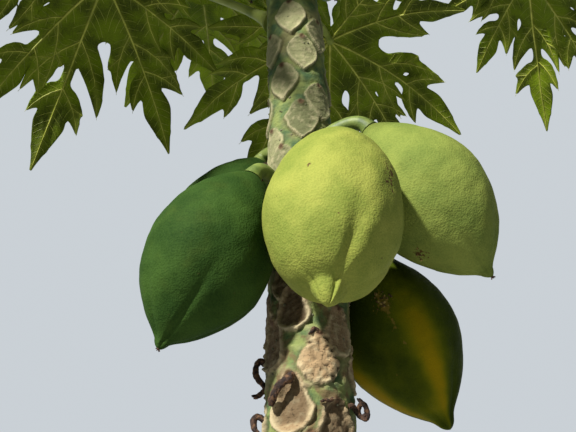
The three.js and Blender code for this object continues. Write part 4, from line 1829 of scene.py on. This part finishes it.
    def build(self) -> None:
        """Build the trunk as one closed mesh and place it."""
        shoulder = TRUNK.top - TRUNK.dome_height
        heights = np.concatenate([
            np.arange(0, self.fine_from, self.coarse_step),
            np.arange(self.fine_from, self.fine_to, self.fine_step),
            np.arange(self.fine_to, shoulder, self.coarse_step),
            shoulder + TRUNK.dome_height * np.sin(np.linspace(0, 0.46 * np.pi, 12)),
        ])
        azimuths = np.arange(self.columns) * 360 / self.columns
        dome = np.clip((heights - shoulder) / TRUNK.dome_height, 0, 1)
        share = np.sqrt(1 - dome**2)
        smooth = TRUNK.axis(heights)[:, None] + outward(azimuths)[None] * (
            share[:, None] * TRUNK.radius(heights[:, None], azimuths[None])
        )[..., None]
        names = [mask.value for mask in Mask]
        fields = {name: np.zeros(smooth.shape[:2]) for name in ("lift", *names)}
        for scar in sorted(self.scars(), key=lambda scar: -scar.height):
            self.add_scar(scar, heights, azimuths, fields)
        squeezed = smooth * np.array([1, 1, 1.8])
        skin = 1.5 * MM * LUMPS.at(smooth, 0.045) + 1.0 * MM * LUMPS.at(squeezed, 0.019)
        skin = skin + 0.6 * MM * LUMPS.at(squeezed + 1.7, 0.009)
        folds = np.clip(1 - 3.2 * np.abs(LUMPS.at(smooth + 2.3, 0.026)), 0, 1)
        gnarled = ramp(heights, 2.02, 1.88) * (1 - 0.7 * ramp(heights, 1.5, 0.6))
        folds = folds * gnarled[:, None] * (1 - fields["scar"])
        skin = skin + self.fold_depth * folds
        # Painted highlight: the raised fold ridges are painted pale in places
        fold_highlight = 0.45 * folds * ramp(LUMPS.at(smooth + 4.9, 0.035), -0.2, 0.5)
        fields["rim"] = np.maximum(fields["rim"], fold_highlight)
        lift = (fields["lift"] + skin) * share[:, None]
        lift[0] = 0
        rows = smooth + outward(azimuths)[None] * lift[..., None]
        points, triangles = revolved(rows, TRUNK.axis(0.0), TRUNK.axis(TRUNK.top))
        masks = {name: np.concatenate([[0], fields[name].ravel(), [0]]) for name in names}
        mesh = make_mesh("trunk", points, triangles, [BARK.material()], masks)
        show("trunk_bark", mesh, Slot.TRUNK, "trunk")
        self.build_stubs()
        self.build_warts()

    def build_stubs(self) -> None:
        """Build the dried stalk stubs, each a shrunken curl that hangs from an axil."""
        random = np.random.default_rng(41)
        stubs = list(SEEN_STUBS)
        number = self.first_stub
        while SPIRAL.height(number) > self.lowest_stub:
            azimuth, height = SPIRAL.azimuth(number), SPIRAL.height(number)
            is_behind = math.cos(math.radians(azimuth - 90)) > -0.2
            if is_behind and random.random() < self.stub_chance:
                course = (HOOK, SHORT_HOOK, KNOT)[random.integers(3)]
                foot = height + self.stub_over_scar
                stubs.append(DriedStub(azimuth, foot, course, random.uniform(2.6, 3.6) * MM))
            number -= 1
        tubes = Tubes()
        for stub in stubs:
            self.add_stub(tubes, stub, random)
        show("dried_stalk_stubs", tubes.mesh(8, DRY_SKIN), Slot.TRUNK)

    def add_stub(self, tubes: Tubes, stub: DriedStub, random: Random) -> None:
        """Add one stub as a shrunken core with two fibres twisted round it.

        Args:
            tubes: Where the strands go.
            stub: The stub.
            random: Source of its small irregularities.
        """
        out = outward(stub.azimuth)
        frame_of_stub = np.stack([out, np.cross(UP, out), -UP])
        corners = np.array(stub.course) * MM + random.uniform(-1, 1, (len(stub.course), 3)) * MM
        foot = TRUNK.surface(stub.height, stub.azimuth)
        core = smooth_course(foot + corners @ frame_of_stub, 6)
        knots = random.uniform(0.84, 1.16, len(core))
        taper = np.linspace(1.1, 0.75, len(core))
        tubes.add(core, stub.thickness * knots * taper)
        for strand in (0, 1):
            turn = np.linspace(0, 7, len(core)) + np.pi * strand
            wrap = np.stack([np.cos(turn), np.sin(turn), 0.5 * np.sin(1.7 * turn)], 1) * 0.62 * stub.thickness
            tubes.add(core + wrap @ frame_of_stub, 0.52 * stub.thickness * knots[::-1] * taper)

    def build_warts(self) -> None:
        """Scatter small corky warts over the bark."""
        random = np.random.default_rng(17)
        heights = random.uniform(self.warts_from, self.warts_to, self.wart_count)
        azimuths = random.uniform(0, 360, self.wart_count)
        places = TRUNK.axis(heights) + outward(azimuths) * TRUNK.radius(heights, azimuths)[:, None]
        wart = turned_shape((1.6, 1.9, 1.1), (-1.4, -0.6, 0.3, 1.1, 1.5), 7)
        mesh = studded(places, outward(azimuths), wart, (0.5, 1.2), 5, WART_SKIN)
        show("bark_warts", mesh, Slot.TRUNK)


# Fruits


@dataclass(frozen=True)
class Mark:
    """Patch on a fruit: share of its length, turn from the side that faces the viewer, size and strength."""

    along: float
    turn: float
    length: float
    width: float
    strength: float


@dataclass(frozen=True)
class Fruit:
    """A papaya and its stalk."""

    name: str
    azimuth: float
    height: float
    shoulder: Triple
    tip: Triple
    radius: float
    rind: Rind
    low_weight: float = 1.1
    fullness: float = 0.6
    rib_depth: float = 0.035
    groove_turn: float = 0.0
    groove_spiral: float = 0.0
    crease_depth: float = 2.4 * MM
    crease_width: float = 3.2 * MM
    crease_from: float = 0.6
    crease_share: float = 0.22
    scuffs: tuple[Mark, ...] = ()
    ripe: tuple[Mark, ...] = ()
    folds: tuple[Mark, ...] = ()
    has_remnant: bool = True
    crumbs: int = 0
    columns: int = 120
    rings: int = 118
    body_share: float = 0.962
    nipple_radius: float = 0.19
    nipple_taper: float = 0.07
    nipple_from: float = 0.86
    blend: float = 22.0
    stalk_radius: float = 0.010
    stalk_lift: float = 0.028
    stalk_sink: float = 0.008

    def way(self) -> Array:
        """Return the unit vector from the shoulder to the tip."""
        return unit(np.subtract(self.tip, self.shoulder))

    def length(self) -> float:
        """Return the distance from the shoulder to the tip."""
        return float(np.linalg.norm(np.subtract(self.tip, self.shoulder)))

    def front(self) -> Array:
        """Return the unit vector square to the fruit's length that points most towards the viewer."""
        way = self.way()
        return unit(np.array([0.0, -1.0, 0.0]) + way * way[1])

    def patches(self, marks: tuple[Mark, ...], share: Array, turn: Array) -> Array:
        """Return the strength of all marks together at some points of the fruit.

        Args:
            marks: The marks.
            share: Share of the length.
            turn: Turn in degrees.

        Returns:
            Strength, in the shape that the two arrays have together.
        """
        length = self.length()
        total = np.zeros(np.broadcast(share, turn).shape)
        for mark in marks:
            along = (share - mark.along) * length / mark.length
            around = np.radians((turn - mark.turn + 180) % 360 - 180) * self.radius / mark.width
            total = total + mark.strength * np.exp(-(along**2) - around**2)
        return total

    def profile(self, share: Array) -> Array:
        """Work out the fruit's outline, with its nipple softly joined on.

        Args:
            share: Shares of the length from the shoulder.

        Returns:
            The radius at each, as a share of the greatest one.
        """
        swell = np.sin(np.pi * np.minimum(1, share / self.body_share) ** self.low_weight)
        flesh = np.maximum(0, swell) ** self.fullness
        beyond = np.clip((share - self.nipple_from) / (1 - self.nipple_from), 0, 1)
        nipple = (self.nipple_radius - self.nipple_taper * beyond) * np.sqrt(1 - beyond**5)
        nipple = nipple * ramp(share, self.nipple_from - 0.25, self.nipple_from)
        joined = np.log(np.exp(self.blend * flesh) + np.exp(self.blend * nipple)) / self.blend
        return np.minimum(joined, flesh + nipple)

    def shape(self, share: Array, turn: Array) -> tuple[Array, Array]:
        """Work out points of the rind.

        Args:
            share: Share of the length from the shoulder.
            turn: Turn round the fruit from the side that faces the viewer, in degrees.

        Returns:
            The points, and for each its direction straight out from the fruit's middle line.
        """
        shoulder, tip = np.array(self.shoulder), np.array(self.tip)
        front = self.front()
        side = np.cross(self.way(), front)
        course = turn - self.groove_turn - self.groove_spiral * (share - 0.95)
        five = np.abs(np.sin(np.radians(2.5 * course)))
        grown = ramp(share, 0.3, 0.95)
        radius = self.radius * self.profile(share) * (1 - self.rib_depth * grown * (1 - five) ** 1.5)
        arc = five / 2.5 * radius
        sharp = ramp(share, self.crease_from, 0.93)
        depth = np.minimum(self.crease_depth, self.crease_share * radius) * sharp
        radius = radius - depth * bell(arc, self.crease_width * (2.6 - 1.6 * sharp))
        radius = radius - np.minimum(self.patches(self.folds, share, turn), 0.5 * radius)
        angle = np.radians(turn)[..., None]
        out = np.cos(angle) * front + np.sin(angle) * side
        place = shoulder + (tip - shoulder) * share[..., None] + out * radius[..., None]
        lumps = 2.0 * MM * LUMPS.at(place, 0.050) + 0.9 * MM * LUMPS.at(place, 0.021)
        lumps = lumps + 0.4 * MM * LUMPS.at(place, 0.009)
        return place + out * (lumps * ramp(share, 0.0, 0.12))[..., None], out

    def body(self) -> Mesh:
        """Make the fruit without its stalk.

        Returns:
            The mesh, with the masks of its ripe streaks and scuffs.
        """
        angles = (np.arange(self.columns) * 360 / self.columns)[None]
        share = (0.5 - 0.5 * np.cos(np.pi * (np.arange(self.rings) + 0.3) / self.rings))[:, None]
        top = np.array(self.shoulder) - self.way() * 2 * MM
        points, triangles = revolved(self.shape(share, angles)[0], top, np.array(self.tip))
        masks = {}
        for name, marks in (("ripe", self.ripe), ("scuff", self.scuffs)):
            mask = self.patches(marks, share, angles)
            masks[name] = np.concatenate([[mask[0].mean()], mask.ravel(), [mask[-1].mean()]])
        return make_mesh(self.name, points, triangles, [self.rind.material()], masks)

    def stalk(self) -> Mesh:
        """Make the stalk, which swells into the trunk and into the fruit.

        Returns:
            The mesh.
        """
        shoulder, way = np.array(self.shoulder), self.way()
        foot = TRUNK.surface(self.height, self.azimuth, self.stalk_sink)
        bend = shoulder - way * self.stalk_lift
        shares = np.linspace(0, 1, 18)
        swell = 1 + 0.5 * np.exp(-shares / 0.12) + 0.45 * np.exp(-(1 - shares) / 0.15)
        tube = Tubes()
        line = bezier(foot, bend, shoulder + way * 6 * MM, shares)
        tube.add(line, self.stalk_radius * swell)
        return tube.mesh(14, STALK_SKIN)

    def crumb_places(self, random: Random) -> tuple[Array, Array]:
        """Scatter places for crumbs of dried latex over the fruit's first scuff.

        Args:
            random: Source of the places.

        Returns:
            Places on the rind, and the directions out of it.
        """
        mark = self.scuffs[0]
        share = mark.along + 0.55 * mark.length / self.length() * random.normal(size=self.crumbs)
        turn = mark.turn + 0.55 * math.degrees(mark.width / self.radius) * random.normal(size=self.crumbs)
        return self.shape(share, turn)

    def add_remnant(self, tubes: Tubes, random: Random) -> None:
        """Add the five dried tips of the flower that stay on the fruit's end.

        Args:
            tubes: Where the tips go.
            random: Source of their small irregularities.
        """
        tip, way, front = np.array(self.tip), self.way(), self.front()
        shares = np.linspace(0, 1, 6)[:, None]
        for strand in range(5):
            out = turned(front, way, 72 * strand + random.uniform(-15, 15))
            length = random.uniform(4, 8) * MM
            line = tip - way * 1.5 * MM + length * (out * shares**1.4 * 0.6 + way * shares * 0.55)
            tubes.add(line, np.linspace(1.5, 0.6, 6) * MM)

    def build(self) -> None:
        """Build the fruit and its stalk and place them."""
        show(f"{self.name}_rind", self.body(), Slot.FRUIT, self.name)
        show(f"{self.name}_stalk", self.stalk(), Slot.FRUIT)


FRUITS = (
    Fruit(
        "fruit_front", -72, 2.150, (0.046, -0.121, 2.126), (0.0234, -0.1934, 1.870), 0.0844, RIND_SUNLIT,
        low_weight=1.167, fullness=0.375, groove_turn=-10, groove_spiral=70, has_remnant=False,
        rib_depth=0.05, crease_depth=1.2 * MM, crease_share=0.05, body_share=0.91, nipple_radius=0.385,
        nipple_taper=0.23, nipple_from=0.80, blend=19.0,
        scuffs=(Mark(0.42, -48, 0.030, 0.012, 0.62), Mark(0.484, 24, 0.003, 0.003, 1.0)),
        folds=(
            Mark(0.94, -25, 0.024, 0.0060, 3.0 * MM), Mark(0.80, -19, 0.052, 0.009, 3.4 * MM),
            Mark(0.76, -36, 0.050, 0.013, -2.2 * MM), Mark(0.86, 6, 0.030, 0.030, 1.6 * MM),
        ),
    ),
    Fruit(
        "fruit_right_upper", -30, 2.200, (0.094, -0.043, 2.205), (0.245, -0.047, 1.967), 0.0838, RIND_GREEN,
        low_weight=1.074, fullness=0.675, groove_turn=20, crease_from=0.75, crumbs=6,
        scuffs=(Mark(0.74, 78, 0.010, 0.016, 0.7),),
    ),
    Fruit(
        "fruit_right_lower", 40, 2.050, (0.063, 0.074, 2.071), (0.199, 0.088, 1.802), 0.087, RIND_TURNING,
        low_weight=1.079, fullness=0.700, groove_turn=34, crease_from=0.7, has_remnant=False, crumbs=22,
        nipple_radius=0.23,
        scuffs=(Mark(0.41, 11, 0.016, 0.013, 0.8), Mark(0.53, 12, 0.040, 0.002, 0.5)),
        ripe=(
            Mark(0.76, -6, 0.070, 0.024, 0.70), Mark(0.48, -14, 0.070, 0.030, 0.38),
            Mark(0.72, 80, 0.080, 0.030, 1.05), Mark(0.90, 20, 0.030, 0.070, 0.35),
            Mark(0.52, -70, 0.080, 0.014, 0.35), Mark(0.60, 12, 0.090, 0.050, 0.22),
        ),
    ),
    Fruit(
        "fruit_left", 215, 2.105, (-0.066, -0.070, 2.109), (-0.177, -0.071, 1.862), 0.0814, RIND_PAINTED_SHADE,
        low_weight=1.034, fullness=0.672, groove_turn=-24, crease_from=0.5, crease_depth=3.0 * MM,
        rib_depth=0.05, folds=(Mark(0.72, -88, 0.060, 0.055, -7 * MM),),
    ),
    Fruit(
        "fruit_left_back", 135, 2.200, (-0.062, 0.085, 2.228), (-0.185, 0.085, 1.977), 0.0805, RIND_PAINTED_SHADE,
        groove_turn=8,
    ),
    Fruit(
        "fruit_back_upper", 80, 2.255, (0.014, 0.105, 2.262), (0.030, 0.200, 2.010), 0.0715, RIND_GREEN,
        groove_turn=30,
    ),
    Fruit("fruit_back_lower", 92, 1.990, (0.004, 0.100, 1.985), (0.008, 0.172, 1.765), 0.056, RIND_PAINTED_SHADE),
)


@dataclass(frozen=True)
class YoungFruit:
    """Young fruit beside the foot of the leaf that it belongs to."""

    name: str
    leaf: int
    radius: float
    turn: float = 26.0
    lift: float = 0.022
    out: float = 0.026
    slenderness: float = 2.9
    slant: float = 0.55
    rib_depth: float = 0.06

    def build(self, remnants: Tubes, random: Random) -> None:
        """Build the young fruit with its stalk.

        Args:
            remnants: Where the dried flower tips go.
            random: Source of their small irregularities.
        """
        azimuth = SPIRAL.azimuth(self.leaf) + self.turn
        height = SPIRAL.height(self.leaf) + self.lift
        shoulder = TRUNK.surface(height, azimuth, self.radius / 2 - self.out)
        tip = shoulder + unit(outward(azimuth) * self.slant - UP) * self.slenderness * self.radius
        grown = Fruit(
            self.name, azimuth, height, tuple(shoulder), tuple(tip), self.radius, YOUNG_RIND,
            columns=40, rings=36, stalk_radius=self.radius / 4, stalk_lift=self.radius / 2,
            rib_depth=self.rib_depth,
        )
        grown.add_remnant(remnants, random)
        show(f"{self.name}_stalk", grown.stalk(), Slot.YOUNG_FRUIT)
        show(f"{self.name}_rind", grown.body(), Slot.YOUNG_FRUIT, self.name)


YOUNG_FRUITS = (
    YoungFruit("young_fruit_1", 8, 0.017),
    YoungFruit("young_fruit_2", 10, 0.015),
    YoungFruit("young_fruit_3", 11, 0.013),
    YoungFruit("young_fruit_4", 12, 0.011),
)


# Number on the spiral of the oldest leaf with flower buds
FIRST_BUD_LEAF = 13


def build_crumbs() -> None:
    """Set the crumbs of dried latex on the scuffed fruits."""
    random = np.random.default_rng(31)
    found = [fruit.crumb_places(random) for fruit in FRUITS if fruit.crumbs]
    places, aims = (np.vstack(arrays) for arrays in zip(*found))
    crumb = turned_shape((1.5, 1.9, 1.0), (-1.2, -0.5, 0.5, 1.4, 1.8), 6)
    show("latex_crumbs", studded(places, aims, crumb, (0.5, 1.3), 7, CRUMB_SKIN), Slot.FRUIT)


def build_buds() -> None:
    """Set pale flower buds in the axils of the younger leaves and round the tip of the trunk."""
    random = np.random.default_rng(29)
    places, aims = [], []
    for number in range(FIRST_BUD_LEAF, SPIRAL.first_leaf + SPIRAL.leaf_count):
        for _ in range(2):
            azimuth = SPIRAL.azimuth(number) + random.uniform(-24, 24)
            height = SPIRAL.height(number) + random.uniform(0.016, 0.028)
            places.append(TRUNK.surface(height, azimuth, 1 * MM))
            aims.append(unit(outward(azimuth) * random.uniform(0.7, 1.2) + UP * random.uniform(0.3, 0.9)))
    bud = turned_shape((1.0, 1.4, 3.0, 3.6, 2.6, 1.2), (-1, 0, 4.5, 7.5, 11.5, 16, 19.5, 20.5), 8)
    mesh = studded(np.array(places), np.array(aims), bud, (0.7, 1.2), 3, BUD_SKIN)
    show("flower_buds", mesh, Slot.YOUNG_FRUIT)


# Studio


@dataclass
class Studio:
    """Plain pale floor and background, soft light and the photograph's view."""

    lens_mm: float = 50.0
    sensor_mm: float = 36.0
    eye: Triple = (-0.02, -1.0, 1.55)
    pitch: float = 28.0
    floor_half_width: float = 2.5
    floor_tone: str = "#9e9e9a"
    floor_pale: str = "#aaaaa6"
    sky_tone: str = "#dfe6ec"
    sky_strength: float = 0.30
    backdrop_strength: float = 0.8
    backdrop_from: float = 0.35
    backdrop_full: float = 0.75
    key_from: Triple = (-0.50, -0.64, 0.58)
    key_strength: float = 6.5
    key_angle: float = 3.0

    def build(self) -> None:
        """Set up the camera, the floor and the lights."""
        scene = bpy.context.scene
        scene.view_settings.view_transform = "Standard"
        self.add_camera()
        self.add_floor()
        self.add_key_light()
        self.add_sky()

    def add_sky(self) -> None:
        """Surround the tree with even pale light, brighter where the backdrop hangs behind it."""
        world = bpy.data.worlds.new("pale studio")
        world.use_nodes = True
        tree = world.node_tree
        way = add_node(tree, "ShaderNodeTexCoord").outputs["Generated"]
        depth = add_node(tree, "ShaderNodeSeparateXYZ", {0: way}).outputs["Y"]
        inputs = {
            "Value": depth, "From Min": self.backdrop_from, "From Max": self.backdrop_full,
            "To Min": self.sky_strength, "To Max": self.backdrop_strength,
        }
        strength = add_node(tree, "ShaderNodeMapRange", inputs, interpolation_type="SMOOTHSTEP").outputs[0]
        background = tree.nodes["Background"]
        background.inputs["Color"].default_value = linear(self.sky_tone)
        tree.links.new(strength, background.inputs["Strength"])
        bpy.context.scene.world = world

    def add_camera(self) -> None:
        """Add the camera at the photograph's viewing angle."""
        camera = bpy.data.cameras.new("camera")
        camera.lens = self.lens_mm
        camera.sensor_width = self.sensor_mm
        holder = placed("camera", camera)
        holder.location = self.eye
        holder.rotation_euler = (math.radians(90 + self.pitch), 0, 0)
        bpy.context.scene.camera = holder

    def add_floor(self) -> None:
        """Add the pale floor."""
        half = self.floor_half_width
        corners = np.array([[-half, -half, 0], [half, -half, 0], [half, half, 0], [-half, half, 0]])
        material, tree = new_shader("matt studio floor")
        patches = grain(tree, 900, 2.0, (0.2, 0.8))
        colour = coated(tree, self.floor_tone, Coat(patches, self.floor_pale))
        close_shader(tree, colour, relief(tree, (patches, 0.1)), Roughness=0.9)
        mesh = make_mesh("floor", corners - UP * 1 * MM, np.array([[0, 1, 2], [0, 2, 3]]), [material])
        placed("floor", mesh)

    def add_key_light(self) -> None:
        """Add the lamp that shines evenly from one direction."""
        lamp = bpy.data.lights.new("key light", "SUN")
        lamp.energy = self.key_strength
        lamp.angle = math.radians(self.key_angle)
        holder = placed("key light", lamp)
        holder.rotation_mode = "QUATERNION"
        holder.rotation_quaternion = Vector(self.key_from).to_track_quat("Z", "Y")


def main() -> None:
    """Build the studio and the whole tree."""
    logging.basicConfig(level=logging.INFO, format="%(message)s")
    Studio().build()
    Trunk().build()
    random = np.random.default_rng(8)
    remnants = Tubes()
    for fruit in FRUITS:
        fruit.build()
        if fruit.has_remnant:
            fruit.add_remnant(remnants, random)
    for young in YOUNG_FRUITS:
        young.build(remnants, random)
    show("flower_remnants", remnants.mesh(6, DRY_SKIN), Slot.FRUIT)
    build_crumbs()
    for index in range(SPIRAL.leaf_count):
        Leaf(index + 1, SPIRAL.plan(SPIRAL.first_leaf + index)).build()
    build_buds()


if __name__ == "__main__":
    main()
